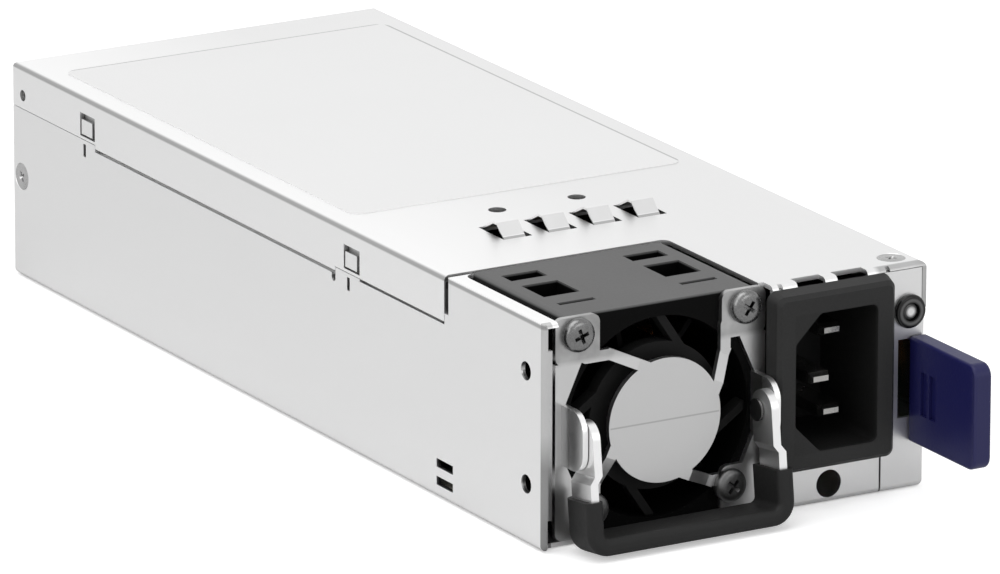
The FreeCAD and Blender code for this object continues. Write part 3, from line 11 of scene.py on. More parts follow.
import bmesh
import bpy
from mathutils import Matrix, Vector


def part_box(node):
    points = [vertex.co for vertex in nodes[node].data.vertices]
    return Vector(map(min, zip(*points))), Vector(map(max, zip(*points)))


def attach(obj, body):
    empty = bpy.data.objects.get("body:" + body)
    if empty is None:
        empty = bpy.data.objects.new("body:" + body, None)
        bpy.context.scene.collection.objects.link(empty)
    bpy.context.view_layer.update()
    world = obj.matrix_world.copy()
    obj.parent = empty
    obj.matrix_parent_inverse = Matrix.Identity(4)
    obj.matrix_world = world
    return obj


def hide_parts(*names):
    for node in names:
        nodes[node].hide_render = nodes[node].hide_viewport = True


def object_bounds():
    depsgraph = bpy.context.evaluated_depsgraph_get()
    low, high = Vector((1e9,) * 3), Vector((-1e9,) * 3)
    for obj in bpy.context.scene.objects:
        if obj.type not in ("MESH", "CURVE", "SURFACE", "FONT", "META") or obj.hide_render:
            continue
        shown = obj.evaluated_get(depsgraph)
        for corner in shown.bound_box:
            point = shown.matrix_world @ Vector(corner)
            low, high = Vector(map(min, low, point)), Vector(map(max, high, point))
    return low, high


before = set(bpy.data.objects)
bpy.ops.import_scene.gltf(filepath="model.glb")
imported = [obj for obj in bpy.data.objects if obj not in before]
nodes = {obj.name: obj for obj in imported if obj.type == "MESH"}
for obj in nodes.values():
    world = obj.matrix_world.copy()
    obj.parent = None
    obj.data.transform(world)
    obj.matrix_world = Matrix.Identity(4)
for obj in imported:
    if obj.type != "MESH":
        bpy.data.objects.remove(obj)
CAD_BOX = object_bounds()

MM = 0.001
print("nodes", len(nodes), "box", [tuple(round(v, 4) for v in corner) for corner in CAD_BOX])

# %% [markdown]
# ## Camera, floor and light
# The camera stands far off with a long lens, so parallel edges stay nearly parallel. A white world lights
# the metal evenly, and three soft panels give each side of the case its own level. The floor is white to
# the camera and keeps the soft shadow.

# %% Camera
CAMERA_PLACE = Vector((-0.89185, -1.5451, 0.5514))
CAMERA_BACK = Vector((-0.4824, -0.8275, 0.2875))
CAMERA_ROLL = math.radians(0.1)
CAMERA_LENS = 390.7


def add_camera():
    camera = bpy.data.objects.new("camera", bpy.data.cameras.new("camera"))
    bpy.context.scene.collection.objects.link(camera)
    camera.location = CAMERA_PLACE
    turn = CAMERA_BACK.to_track_quat("Z", "Y").to_matrix().to_4x4()
    camera.rotation_euler = turn.to_euler()
    camera.rotation_euler.rotate_axis("Z", CAMERA_ROLL)
    camera.data.lens = CAMERA_LENS
    camera.data.sensor_width = 36
    camera.data.clip_end = 50
    bpy.context.scene.camera = camera


add_camera()
print("camera", tuple(round(v, 3) for v in bpy.context.scene.camera.location))

# %% [markdown]
# ## Writing shader maths as sums
# A material is a net of small nodes. Wiring each Math node by hand hides what is worked out, so one small
# class wraps a socket and turns +, - and * into Math nodes. Another holds one material and adds any other
# node.

# %% Socket sums
COLOUR_SOCKETS = (0, 6, 7)   # factor, first and second colour of a Mix node, which has sockets for every type
COLOUR_RESULT = 2


class Wire:
    """A shader value. Sums on it add Math nodes to its tree."""

    def __init__(self, tree, socket):
        self.tree = tree
        self.socket = socket

    def maths(self, operation, *values, clamp=False):
        node = self.tree.nodes.new("ShaderNodeMath")
        node.operation = operation
        node.use_clamp = clamp
        for slot, value in zip(node.inputs, values):
            feed(self.tree, slot, value)
        return Wire(self.tree, node.outputs[0])

    def __add__(self, other):
        return self.maths("ADD", self, other)

    def __radd__(self, other):
        return self.maths("ADD", other, self)

    def __sub__(self, other):
        return self.maths("SUBTRACT", self, other)

    def __rsub__(self, other):
        return self.maths("SUBTRACT", other, self)

    def __mul__(self, other):
        return self.maths("MULTIPLY", self, other)

    def __rmul__(self, other):
        return self.maths("MULTIPLY", other, self)

    def __abs__(self):
        return self.maths("ABSOLUTE", self)

    def high(self, other):
        return self.maths("MAXIMUM", self, other)

    def wave(self):
        return self.maths("SINE", self)

    def power(self, other):
        return self.maths("POWER", self, other)

    def above(self, edge, soft):
        """0 below edge and 1 above it, over a soft band."""
        return self.maths("DIVIDE", self - (edge - soft / 2), soft, clamp=True)

    def below(self, edge, soft):
        return 1 - self.above(edge, soft)


def feed(tree, slot, value):
    """Links a wire to a socket, or sets the socket to a plain value."""
    if isinstance(value, Wire):
        tree.links.new(value.socket, slot)
    elif isinstance(value, (tuple, list)) and len(value) == 3 and len(slot.default_value) == 4:
        slot.default_value = (*value, 1)
    else:
        slot.default_value = value


class Finish:
    """One material's nodes, with short names for the nodes it uses most."""

    def __init__(self, name, **constants):
        self.material = bpy.data.materials.new(name)
        self.material.use_nodes = True
        self.tree = self.material.node_tree
        self.shader = self.tree.nodes["Principled BSDF"]
        self.set(**constants)
        self.place = self.add("ShaderNodeTexCoord", {}, "Object")
        parts = self.raw("ShaderNodeSeparateXYZ", {}, Vector=self.place).outputs
        self.x, self.y, self.z = (Wire(self.tree, socket) for socket in parts)

    def raw(self, kind, settings, **inputs):
        node = self.tree.nodes.new(kind)
        for key, value in settings.items():
            setattr(node, key, value)
        for key, value in inputs.items():
            feed(self.tree, node.inputs[key.replace("_", " ")], value)
        return node

    def add(self, kind, settings, output, **inputs):
        return Wire(self.tree, self.raw(kind, settings, **inputs).outputs[output])

    def set(self, **inputs):
        for key, value in inputs.items():
            feed(self.tree, self.shader.inputs[key.replace("_", " ")], value)

    def stretched(self, along):
        """The place on the object scaled per axis, for a pattern that runs one way."""
        return self.add("ShaderNodeMapping", {}, "Vector", Vector=self.place, Scale=along)

    def noise(self, scale, detail=2.0, along=None, rough=0.5):
        where = self.place if along is None else self.stretched(along)
        return self.add("ShaderNodeTexNoise", {}, "Fac", Vector=where, Scale=scale, Detail=detail,
                        Roughness=rough)

    def blend(self, factor, first, second):
        """A colour between two colours."""
        node = self.tree.nodes.new("ShaderNodeMix")
        node.data_type = "RGBA"
        for number, value in zip(COLOUR_SOCKETS, (factor, first, second)):
            feed(self.tree, node.inputs[number], value)
        return Wire(self.tree, node.outputs[COLOUR_RESULT])

    def bump(self, height, distance, strength=1.0):
        self.set(Normal=self.add("ShaderNodeBump", {}, "Normal", Height=height, Distance=distance,
                                 Strength=strength))


def grey(level):
    return (level, level, level)


print("shader helpers ready")

# %% [markdown]
# ## Floor, world and lamps
# The floor is a large plane under the base. Its diffuse part catches the soft shadow, and camera rays get a
# little more on top so that the background reads as plain white. From below it is clear, so the case's base
# shows.

# %% Floor and world
FLOOR_SIZE = 6.0
WORLD_LEVEL = 0.62
FLOOR_COLOUR = 0.86
FLOOR_LIFT = 0.42
FLOOR_GAP = 0.0002
LAMP_AIM = Vector((0, 0, 0.02))


def deselect():
    bpy.ops.object.select_all(action="DESELECT")


def add_floor():
    deselect()
    bpy.ops.mesh.primitive_plane_add(size=FLOOR_SIZE, location=(0, 0, CAD_BOX[0].z - FLOOR_GAP))
    floor = bpy.context.object
    floor.name = "floor"
    finish = Finish("floor_paper", Roughness=0.9)
    finish.set(Base_Color=grey(FLOOR_COLOUR))
    light = finish.raw("ShaderNodeLightPath", {})
    camera = Wire(finish.tree, light.outputs["Is Camera Ray"])
    below = finish.add("ShaderNodeNewGeometry", {}, "Backfacing")
    finish.set(Emission_Color=grey(1.0), Emission_Strength=camera * FLOOR_LIFT, Alpha=1 - below)
    floor.data.materials.append(finish.material)


def add_world():
    world = bpy.data.worlds.new("studio")
    bpy.context.scene.world = world
    world.use_nodes = True
    tree = world.node_tree
    path = tree.nodes.new("ShaderNodeLightPath")
    seen = Wire(tree, path.outputs["Is Camera Ray"])
    for name in ("Is Glossy Ray", "Is Transmission Ray"):
        seen = seen.high(Wire(tree, path.outputs[name]))
    background = tree.nodes["Background"]
    feed(tree, background.inputs["Color"], grey(1.0))
    feed(tree, background.inputs["Strength"], WORLD_LEVEL + seen * (1 - WORLD_LEVEL))


def add_lamp(name, place, size, watts):
    """A square soft lamp that faces the middle of the case."""
    lamp = bpy.data.objects.new(name, bpy.data.lights.new(name, "AREA"))
    bpy.context.scene.collection.objects.link(lamp)
    lamp.location = place
    lamp.rotation_euler = (LAMP_AIM - Vector(place)).to_track_quat("-Z", "Y").to_euler()
    lamp.data.size = size
    lamp.data.energy = watts


add_floor()
add_world()
add_lamp("lamp_over", (-0.25, -0.1, 1.1), size=0.9, watts=5.0)
add_lamp("lamp_left", (-1.1, -0.5, 0.7), size=0.8, watts=3.0)
add_lamp("lamp_front", (0.35, -1.2, 0.5), size=0.6, watts=1.6)
bpy.context.scene.view_settings.view_transform = "Standard"

# %% [markdown]
# ## Sheet metal
# The case is zinc-plated sheet steel with a satin surface. Up close it has a fine grain from the mill,
# faint cloudy patches in the plating, and tiny flecks. A painted map could carry that, but a procedural
# grain stays sharp at any distance: a noise stretched along one axis gives it, the way the sheet was
# rolled.

# %% Plated steel
ACROSS_GRAIN = 420.0         # noise scales per metre
ALONG_GRAIN = 9.0
FLECK_SCALE = 2600.0


def plated_steel(name, level, grain_axis, roughness, contrast=0.05, patches=38.0):
    finish = Finish(name, Metallic=1.0)
    along = [ALONG_GRAIN if axis == grain_axis else ACROSS_GRAIN for axis in "xyz"]
    grain = finish.noise(1.0, 3.0, tuple(along), 0.6)
    cloud = finish.noise(patches, 4.0)
    fleck = finish.noise(FLECK_SCALE, 1.0)
    finish.grain, finish.cloud, finish.fleck = grain - 0.5, cloud - 0.5, fleck - 0.5
    shade = (finish.grain * 0.6 + finish.cloud * 0.8 + finish.fleck * 0.3) * 4 * contrast + 0.5
    dark = grey(level * (1 - contrast))
    bright = grey(min(1, level * (1 + contrast)))
    finish.tone = finish.blend(shade, dark, bright)
    finish.set(Base_Color=finish.tone)
    finish.set(Roughness=roughness + finish.grain * 0.12 + finish.cloud * 0.1)
    finish.bump(finish.grain * 0.5 + finish.fleck * 0.35, 0.00004, 0.5)
    return finish


def shaded(finish, mask, tint):
    """Draws a finish towards a tint where the mask is 1: painted shade, painted highlights and duller cut
    edges.
    """
    finish.tone = finish.blend(mask, finish.tone, tint)
    finish.set(Base_Color=finish.tone)


def within(value, low, high, soft=0.0001):
    """1 between two values and 0 outside them, over soft bands."""
    return value.above(low, soft) * value.below(high, soft)


def centre_of(node):
    low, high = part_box(node)
    return (low + high) / 2


def wear(finishes):
    """Gives each named CAD node one finish, in place of the frame's plain one."""
    for name, finish in finishes.items():
        mesh = nodes[name].data
        mesh.materials.clear()
        mesh.materials.append(finish.material)
    print("finished", len(finishes), "nodes")


cover_steel = plated_steel("cover_steel", 0.80, "y", 0.34)
wall_steel = plated_steel("wall_steel", 0.76, "y", 0.36)
guard_steel = plated_steel("guard_steel", 0.56, "z", 0.34, patches=150.0)
strap_steel = plated_steel("strap_steel", 0.82, "z", 0.36, contrast=0.08)
spring_steel = plated_steel("spring_steel", 0.80, "y", 0.24, contrast=0.08)
rivet_steel = plated_steel("rivet_steel", 0.88, "x", 0.34)
wear({
    "top_cover": cover_steel, "rear_panel": cover_steel, "chassis_tray": wall_steel,
    "fan_guard": guard_steel, "handle_strap": strap_steel, "handle_rivets": rivet_steel,
    "latch_leaf": spring_steel, "latch_anchor": spring_steel, "latch_rivets": spring_steel,
})

# %% [markdown]
# ### Painted highlight and shade on the case, and duller cut edges
# The case's light and shade are partly painted in. The top is painted brighter beside the left fold, a
# painted dark reflection runs along that fold, and painted shade darkens the wall's thickness behind its
# slots and windows, the finger holes' front ends, the raised fingers, the return lip, more so low down, and
# the front wall. The raw cut edges of the sheet are duller. Each of these is a mask made from the place on
# the object, so it stays put under any light, and it pulls the steel's colour towards another tint.

# %% Tints on the cover and tray
tray_low, tray_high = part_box("chassis_tray")
LEFT = tray_low.x
FRONT = tray_low.y
TOP = tray_high.z
TOP_REACH = 22 * MM          # from the left fold to where the bright band has half faded
# Painted highlight levels for the tops of the cover and the tray
COVER_TOP_HIGHLIGHT_GREY = 0.93
WALL_TOP_HIGHLIGHT_GREY = 0.95
# Levels of painted reflection and painted shade, and of the duller cut corner
FOLD_REFLECTION_GREY = 0.34
INNER_SHADE_GREY = 0.14
FINGER_HOLE_SHADE_GREY = 0.42
FINGER_SHADE_GREY = 0.55
CORNER_GREY = 0.31           # the cover's cut edge at the front right
RETURN_SHADE_GREY = 0.22           # the return lip down the left wall's front edge
FRONT_SHADE_GREY = 0.50


def from_left(x):
    """A place across the case, given in millimetres from its left wall."""
    return LEFT + x * MM


def from_front(y):
    """A place along the case, given in millimetres behind its front plane."""
    return FRONT + y * MM


def from_top(z):
    """A height given in millimetres above the case's top."""
    return TOP + z * MM


FINGER_ENDS = (from_front(45.3), from_front(47.0))
FINGER_SIDES = (from_left(10), from_left(55))


def painted_fold_reflection(finish):
    """A painted dark reflection along the left top fold."""
    high = within(finish.z, from_top(-0.95), from_top(-0.25), 0.3 * MM)
    return high * within(finish.x, from_left(-0.1), from_left(0.7), 0.1 * MM)


def cut_edges_and_painted_shade(finish):
    """Painted shade, and duller cut edges, inside the left wall's thickness and behind it, fainter at the
    seam and the windows above it.
    """
    deep = within(finish.x, from_left(0.3), from_left(2.6), 0.1 * MM)
    seam = within(finish.z, from_top(-9.6), from_top(-8.2), 0.2 * MM)
    windows = within(finish.z, from_top(-7.8), from_top(-2.4), 0.3 * MM)
    deep = deep * (1 - seam * 0.9 - windows * 0.35)
    return deep * finish.z.below(from_top(-1.2), 0.1 * MM) * finish.y.above(from_front(1.5), 0.1 * MM)


def painted_top_highlight(finish):
    """Painted highlight on the upper face, brightest beside the left fold."""
    across = finish.x.below(LEFT + TOP_REACH, 2 * TOP_REACH)
    return finish.z.above(from_top(-0.3), 0.2 * MM) * across


# Painted highlight, painted dark reflection and painted shade, alike on the cover and the tray
for steel, top_highlight_grey in ((cover_steel, COVER_TOP_HIGHLIGHT_GREY), (wall_steel, WALL_TOP_HIGHLIGHT_GREY)):
    shaded(steel, painted_top_highlight(steel), grey(top_highlight_grey))
    shaded(steel, painted_fold_reflection(steel) * 0.9, grey(FOLD_REFLECTION_GREY))
    shaded(steel, cut_edges_and_painted_shade(steel) * 0.85, grey(INNER_SHADE_GREY))

x, y, z = cover_steel.x, cover_steel.y, cover_steel.z
# Painted shade in the finger holes' front ends, below the top
painted_finger_hole_shade = within(y, *FINGER_ENDS, 0.1 * MM) * z.below(from_top(-0.02), 0.02 * MM)
painted_finger_hole_shade = painted_finger_hole_shade * within(x, *FINGER_SIDES, 0.1 * MM)
shaded(cover_steel, painted_finger_hole_shade * z.above(from_top(-1.5), 0.1 * MM), grey(FINGER_HOLE_SHADE_GREY))
corner_edge = y.below(from_front(1.3), 0.4 * MM) * x.above(from_left(64), 1.0 * MM)
shaded(cover_steel, corner_edge * (0.85 + cover_steel.cloud * 2), grey(CORNER_GREY))
# Painted shade on the raised fingers
painted_finger_shade = z.above(from_top(0.05), 0.1 * MM) * y.below(from_front(49.2), 0.1 * MM)
shaded(cover_steel, painted_finger_shade * 0.5, grey(FINGER_SHADE_GREY))

x, y, z = wall_steel.x, wall_steel.y, wall_steel.z
# Painted shade on the return lip, darker towards the bottom
painted_return_shade = y.below(from_front(1.0), 0.1 * MM) * x.below(from_left(1.7), 0.2 * MM)
shade_fade_upward = z.above(17 * MM, 6 * MM) * 0.40
shaded(wall_steel, painted_return_shade * (0.95 - shade_fade_upward + wall_steel.cloud * 0.5), grey(RETURN_SHADE_GREY))
# Painted shade on the front wall, mottled by the plating's cloud
painted_front_shade = y.below(from_front(0.3), 0.2 * MM) * x.above(from_left(30), 0.2 * MM)
shaded(wall_steel, painted_front_shade * (0.20 + wall_steel.cloud * 0.5), grey(FRONT_SHADE_GREY))
print("case edges", round(LEFT, 5), round(FRONT, 5), round(TOP, 5))

# %% [markdown]
# ## Plastics
# Moulded plastic is never quite even. A spark-eroded mould leaves a fine pebble on the surface, and thin
# dust and handling vary the gloss. Colour and gloss tell the fan's plastic from the inlet's and the tab's.

# %% Moulded plastic
def moulded(name, colour, roughness, pebble=2200.0, depth=0.00003, light=None, coat=0.0, gloss=0.25):
    finish = Finish(name, Coat_Weight=coat, Specular_IOR_Level=gloss)
    fine = finish.noise(pebble, 2.0)
    patch = finish.noise(55.0, 3.0)
    bright = light if light else tuple(min(1, c * 1.5 + 0.004) for c in colour)
    finish.tone = finish.blend((fine - 0.5) * 0.5 + (patch - 0.5) * 0.6 + 0.35, colour, bright)
    finish.set(Base_Color=finish.tone)
    finish.set(Roughness=roughness + (fine - 0.5) * 0.14 + (patch - 0.5) * 0.16)
    finish.bump(fine, depth, 0.6)
    return finish


fan_plastic = moulded("fan_plastic", grey(0.002), 0.50, light=grey(0.005), gloss=0.04)
frame_plastic = moulded("frame_plastic", grey(0.002), 0.46, light=grey(0.004), gloss=0.04)
inlet_plastic = moulded("inlet_plastic", grey(0.019), 0.46, gloss=0.16)
bezel_plastic = moulded("bezel_plastic", grey(0.004), 0.22, coat=0.2, gloss=0.2)
tab_plastic = moulded("tab_plastic", (0.008, 0.008, 0.060), 0.38, light=(0.012, 0.013, 0.085))
grip_rubber = moulded("grip_rubber", grey(0.012), 0.55, pebble=1500.0, depth=0.00005, light=grey(0.020),
                      gloss=0.2)
lens_plastic = moulded("lens_plastic", grey(0.72), 0.18, light=grey(0.84), coat=0.5)
epoxy = moulded("epoxy", grey(0.012), 0.45)
film_case = moulded("film_case", (0.55, 0.36, 0.03), 0.40, gloss=0.5)
sheet_film = moulded("sheet_film", (0.62, 0.60, 0.52), 0.35, gloss=0.5)
wear({
    "fan_frame": frame_plastic, "fan_rotor": fan_plastic, "inlet_housing": inlet_plastic,
    "status_light_ring": bezel_plastic, "release_tab": tab_plastic, "handle_grip": grip_rubber,
    "status_light_pipe": lens_plastic, "status_diode": lens_plastic, "power_transistors": epoxy,
    "line_capacitor": film_case, "insulation_sheet": sheet_film, "fan_magnet": fan_plastic,
})

# %% [markdown]
# ### Painted sheen, shade and highlights on the fan, inlet, tab and light
# The fan's upper face lies open beside the cover and catches light that the shaded duct behind the guard
# doesn't. One mask by height gives that face a lighter grey as a painted sheen, and the hub ring and spokes
# are a little lighter. The inlet's mouth, the tab's ribs, the rim of the lens and the inner heads of the
# handle's rivets are darker with painted shade, which leaves a small painted highlight in the middle of the
# lens. The guard's ears and the tab's front end are brighter with painted light, a painted highlight ring
# lies on the light's bezel, and a faint dark line crosses the guard's disc.

# %% Fan, inlet, tab and light tints
FAN = centre_of("fan_shaft")
LIGHT = centre_of("status_light_ring")
# Height and level of the painted sheen on the fan frame's upper face
TOP_SHEEN_LINE = from_top(-0.5)
TOP_SHEEN_GREY = 0.136
SPOKE_REACH = 17.0 * MM
SPOKE_DEPTH = 6.6            # millimetres behind the front
SPOKE_GREY = 0.014
MOUTH_SIDES = (from_left(46.2), from_left(62.4))
MOUTH_ENDS = (10.1 * MM, 34.3 * MM)
MOUTH_SHADE_GREY = 0.011
RIBS = (from_front(-6.8), from_front(-3.2))
RIB_SHADE_BLUE = (0.003, 0.003, 0.012)
TAB_FRONT_LIT_BLUE = (0.020, 0.020, 0.080)
RIVET_REACH = 17.2 * MM
EAR_REACH = 16.5 * MM


def from_axis(finish, centre):
    """Distance from an axis that runs along Y through a centre."""
    across = finish.x - centre.x
    up = finish.z - centre.z
    return (across * across + up * up).power(0.5)


# Painted sheen: the fan frame's upper face is painted lighter
shaded(frame_plastic, frame_plastic.z.above(TOP_SHEEN_LINE, 0.3 * MM), grey(TOP_SHEEN_GREY))
# The hub ring and spokes are painted a little lighter
spokes = from_axis(frame_plastic, FAN).below(SPOKE_REACH, 0.3 * MM)
shaded(frame_plastic, spokes * frame_plastic.y.below(from_front(SPOKE_DEPTH), 0.2 * MM), grey(SPOKE_GREY))

# Painted shade deep in the inlet's mouth
inside = inlet_plastic.y.above(from_front(-2.6), 1.5 * MM)
mouth = within(inlet_plastic.x, *MOUTH_SIDES) * within(inlet_plastic.z, *MOUTH_ENDS)
shaded(inlet_plastic, inside * mouth, grey(MOUTH_SHADE_GREY))

# Painted shade in the tab's ribbed recess
painted_rib_shade = within(tab_plastic.y, *RIBS) * tab_plastic.x.below(from_left(70.0), 0.05 * MM)
shaded(tab_plastic, painted_rib_shade * 0.8, RIB_SHADE_BLUE)
# Painted light on the tab's front end
shaded(tab_plastic, tab_plastic.y.below(from_front(-19.4), 0.5 * MM) * 0.8, TAB_FRONT_LIT_BLUE)

# Painted shade round the lens rim, leaving a small painted highlight in its middle
lens_rim_shade = from_axis(lens_plastic, LIGHT).above(0.75 * MM, 0.5 * MM)
shaded(lens_plastic, lens_rim_shade * 0.95, grey(0.02))
# A painted highlight ring on the light's bezel
painted_ring_highlight = within(from_axis(bezel_plastic, LIGHT), 1.75 * MM, 2.25 * MM, 0.3 * MM)
shaded(bezel_plastic, painted_ring_highlight, grey(0.10))

# Painted shade on the inner heads of the handle's rivets
inner_rivet_shade = abs(rivet_steel.x - FAN.x).below(RIVET_REACH, 0.1 * MM)
shaded(rivet_steel, inner_rivet_shade, grey(0.12))
# A faint dark line across the guard's disc
disc_line = abs(guard_steel.z - FAN.z).below(0.13 * MM, 0.12 * MM)
disc_line = disc_line * from_axis(guard_steel, FAN).below(10.4 * MM, 0.1 * MM)
shaded(guard_steel, disc_line * 0.45, grey(0.20))
# Painted light on the guard's ears
painted_ear_light = abs(guard_steel.x - FAN.x).above(EAR_REACH, 0.4 * MM)
painted_ear_light = painted_ear_light * guard_steel.y.below(from_front(-0.6), 0.4 * MM)
shaded(guard_steel, painted_ear_light * (0.9 + guard_steel.cloud * 0.6), grey(0.96))
upper_tabs = guard_steel.z.above(31.0 * MM, 1.0 * MM)
shaded(guard_steel, upper_tabs * (0.5 + guard_steel.cloud * 2), grey(0.26))
print("fan axis", FAN, "light axis", LIGHT, "top sheen above", round(TOP_SHEEN_LINE, 4))

# %% [markdown]
# ## Metals and materials inside
# Little of the inside shows, through the vents and the fan, but each piece is still what it is on the real
# object: gold pads, green board, enamelled copper, pressed ferrite, sleeved cans and extruded aluminium. A
# winding's turns are a sine wave along or round the coil, which costs no geometry at all. Screw heads are
# worn and stained in patches smaller than the head, so their noise is finer and their dark and bright lie
# further apart.

# %% Plain metals
def bare_metal(name, colour, roughness, bright=1.12, dark=0.8, scale=900.0, ridges=None, depth=0.00003):
    """A metal with fine flecks, and ridges where a wave is given."""
    finish = Finish(name, Metallic=1.0)
    fine = finish.noise(scale, 3.0)
    cloud = finish.noise(scale / 12, 2.0)
    bright_colour = tuple(min(1, c * bright) for c in colour)
    dark_colour = tuple(c * dark for c in colour)
    wave = fine if ridges is None else ridges(finish) * 0.5 + 0.5
    finish.set(Base_Color=finish.blend(wave * 0.6 + cloud * 0.4, dark_colour, bright_colour))
    finish.set(Roughness=roughness + (fine - 0.5) * 0.15 + (cloud - 0.5) * 0.1)
    finish.bump(wave + fine * 0.2, depth, 0.6)
    return finish


def rings(axis, per_metre):
    """A ridge pattern that repeats along one axis."""
    return lambda finish: (getattr(finish, axis) * (2 * math.pi * per_metre)).wave()


def spokes_about(centre, count):
    """A ridge pattern that repeats round a vertical axis."""
    def ridges(finish):
        dx, dy = finish.x - centre.x, finish.y - centre.y
        return (dy.maths("ARCTAN2", dy, dx) * count).wave()
    return ridges


HEAD_WEAR = 4000.0           # noise scale per metre
screw_steel = bare_metal("screw_steel", grey(0.46), 0.22, bright=1.3)
head_steel = bare_metal("head_steel", grey(0.155), 0.26, bright=2.1, dark=0.35, scale=HEAD_WEAR)
flush_steel = bare_metal("flush_steel", grey(0.42), 0.30, bright=1.6, dark=0.45, scale=HEAD_WEAR)
# The lower guard screws lie in the handle's shadow: their heads are painted dark as painted shade, with
# mottling
lower_head_shade_steel = bare_metal("lower_head_shade_steel", grey(0.13), 0.40, bright=1.5, dark=0.6, scale=HEAD_WEAR)
pin_metal = bare_metal("pin_metal", (0.44, 0.435, 0.42), 0.24)
gold = bare_metal("gold_plate", (0.86, 0.60, 0.22), 0.22)
brass = bare_metal("turned_brass", (0.76, 0.58, 0.28), 0.28, ridges=rings("z", per_metre=4000))
laminations = bare_metal("laminations", grey(0.36), 0.42, ridges=rings("y", per_metre=2000))
heat_sink = bare_metal("extruded_aluminium", grey(0.62), 0.36, ridges=rings("z", per_metre=1500))
coil_turns = rings("z", per_metre=1500)
coil_wire = bare_metal("coil_wire", (0.62, 0.26, 0.09), 0.28, ridges=coil_turns, depth=0.0001)
choke_turns = spokes_about(centre_of("line_choke"), count=34)
choke_wire = bare_metal("choke_wire", (0.60, 0.25, 0.08), 0.28, ridges=choke_turns, depth=0.0002)
wear({
    "case_screws": flush_steel, "guard_screws": head_steel, "fan_screws": lower_head_shade_steel,
    "fan_shaft": screw_steel, "fan_bearings": screw_steel, "board_screws": screw_steel,
    "inlet_line_pin": pin_metal, "inlet_neutral_pin": pin_metal, "inlet_earth_pin": pin_metal,
    "edge_contacts": gold, "board_standoffs": brass,
    "fan_stator_core": laminations, "primary_heat_sink": heat_sink, "secondary_heat_sink": heat_sink,
    "fan_coils": coil_wire, "boost_choke_winding": coil_wire, "line_choke": choke_wire,
})

# %% [markdown]
# ### Circuit board
# A bare board is glass cloth under green solder mask. The copper under the mask shows as slightly raised,
# lighter tracks. A Voronoi net with square distance gives track-like lines and pads without drawing each
# one. The cores, sleeves, fuse and tape are made from a noise or two, and a mask by place where one is
# needed.

# %% Board, ferrite, sleeves, fuse and tape
BARE_END = 0.9 * MM
GLASS_HALF = 6.0 * MM
TAPE_LAYERS = 300            # per metre


def circuit_board(name):
    finish = Finish(name, Specular_IOR_Level=0.5)
    weave = finish.noise(1500.0, 1.0)
    net = {"distance": "CHEBYCHEV", "feature": "F1"}
    tracks = finish.add("ShaderNodeTexVoronoi", net, "Distance", Vector=finish.place, Scale=260.0)
    track = within(tracks, 0.18, 0.30, 0.03).high(tracks.below(0.06, 0.02))
    mask, copper = (0.008, 0.060, 0.022), (0.020, 0.135, 0.050)
    finish.set(Base_Color=finish.blend(track * 0.8 + (weave - 0.5) * 0.3, mask, copper))
    finish.set(Roughness=0.30 + (weave - 0.5) * 0.1)
    finish.bump(track + weave * 0.1, 0.00004, 0.7)
    return finish


def ferrite(name):
    finish = Finish(name, Specular_IOR_Level=0.5)
    grain = finish.noise(1800.0, 3.0)
    patch = finish.noise(70.0, 2.0)
    finish.set(Base_Color=finish.blend(grain * 0.5 + patch * 0.5, grey(0.022), grey(0.055)))
    finish.set(Roughness=0.42 + (grain - 0.5) * 0.25)
    finish.bump(grain, 0.00006, 0.6)
    return finish


def sleeve(name, axis, high):
    """A shrunk plastic sleeve over an aluminium can, bare at its high end."""
    finish = Finish(name)
    fine = finish.noise(600.0, 3.0)
    bare = getattr(finish, axis).above(high - BARE_END, 0.2 * MM)
    wrap = finish.blend(fine, (0.010, 0.014, 0.028), (0.020, 0.026, 0.048))
    finish.set(Base_Color=finish.blend(bare, wrap, grey(0.68)), Metallic=bare)
    finish.set(Roughness=0.30 + (fine - 0.5) * 0.15)
    finish.bump(fine, 0.00003, 0.5)
    return finish


def fuse_glass(name):
    finish = Finish(name)
    ends = abs(finish.x - centre_of("line_fuse").x).above(GLASS_HALF, 0.1 * MM)
    fine = finish.noise(900.0, 2.0)
    finish.set(Base_Color=finish.blend(ends, grey(0.80), grey(0.66)), Metallic=ends)
    finish.set(Roughness=0.08 + ends * 0.2 + (fine - 0.5) * 0.08)
    finish.bump(fine, 0.00002, 0.4)
    return finish


def wound_tape(name):
    finish = Finish(name, Specular_IOR_Level=0.5)
    layers = rings("z", TAPE_LAYERS)(finish) * 0.5 + 0.5
    fine = finish.noise(800.0, 2.0)
    finish.set(Base_Color=finish.blend(layers * 0.7 + fine * 0.3, (0.50, 0.34, 0.02), (0.68, 0.50, 0.06)))
    finish.set(Roughness=0.30 + (fine - 0.5) * 0.15)
    finish.bump(layers, 0.00006, 0.6)
    return finish


board_green = circuit_board("board_green")
core_black = ferrite("ferrite_core")
bulk_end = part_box("bulk_capacitor")[1].y
can_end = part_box("output_capacitors")[1].z
wear({
    "main_circuit_board": board_green, "control_board": board_green, "fan_circuit_board": board_green,
    "boost_choke_core": core_black, "transformer_core": core_black,
    "bulk_capacitor": sleeve("bulk_sleeve", "y", bulk_end),
    "output_capacitors": sleeve("can_sleeve", "z", can_end),
    "line_fuse": fuse_glass("fuse_glass"), "transformer_winding": wound_tape("winding_tape"),
})

# %% [markdown]
# ## Modelling helpers
# New fittings are modelled as by hand: a primitive is put down at its size, and shaped in edit mode. Faces
# and edges are picked by where they are, which stays right when a number above changes.

# %% Picking and finishing
def edit_mode():
    bpy.ops.object.mode_set(mode="EDIT")


def object_mode():
    bpy.ops.object.mode_set(mode="OBJECT")


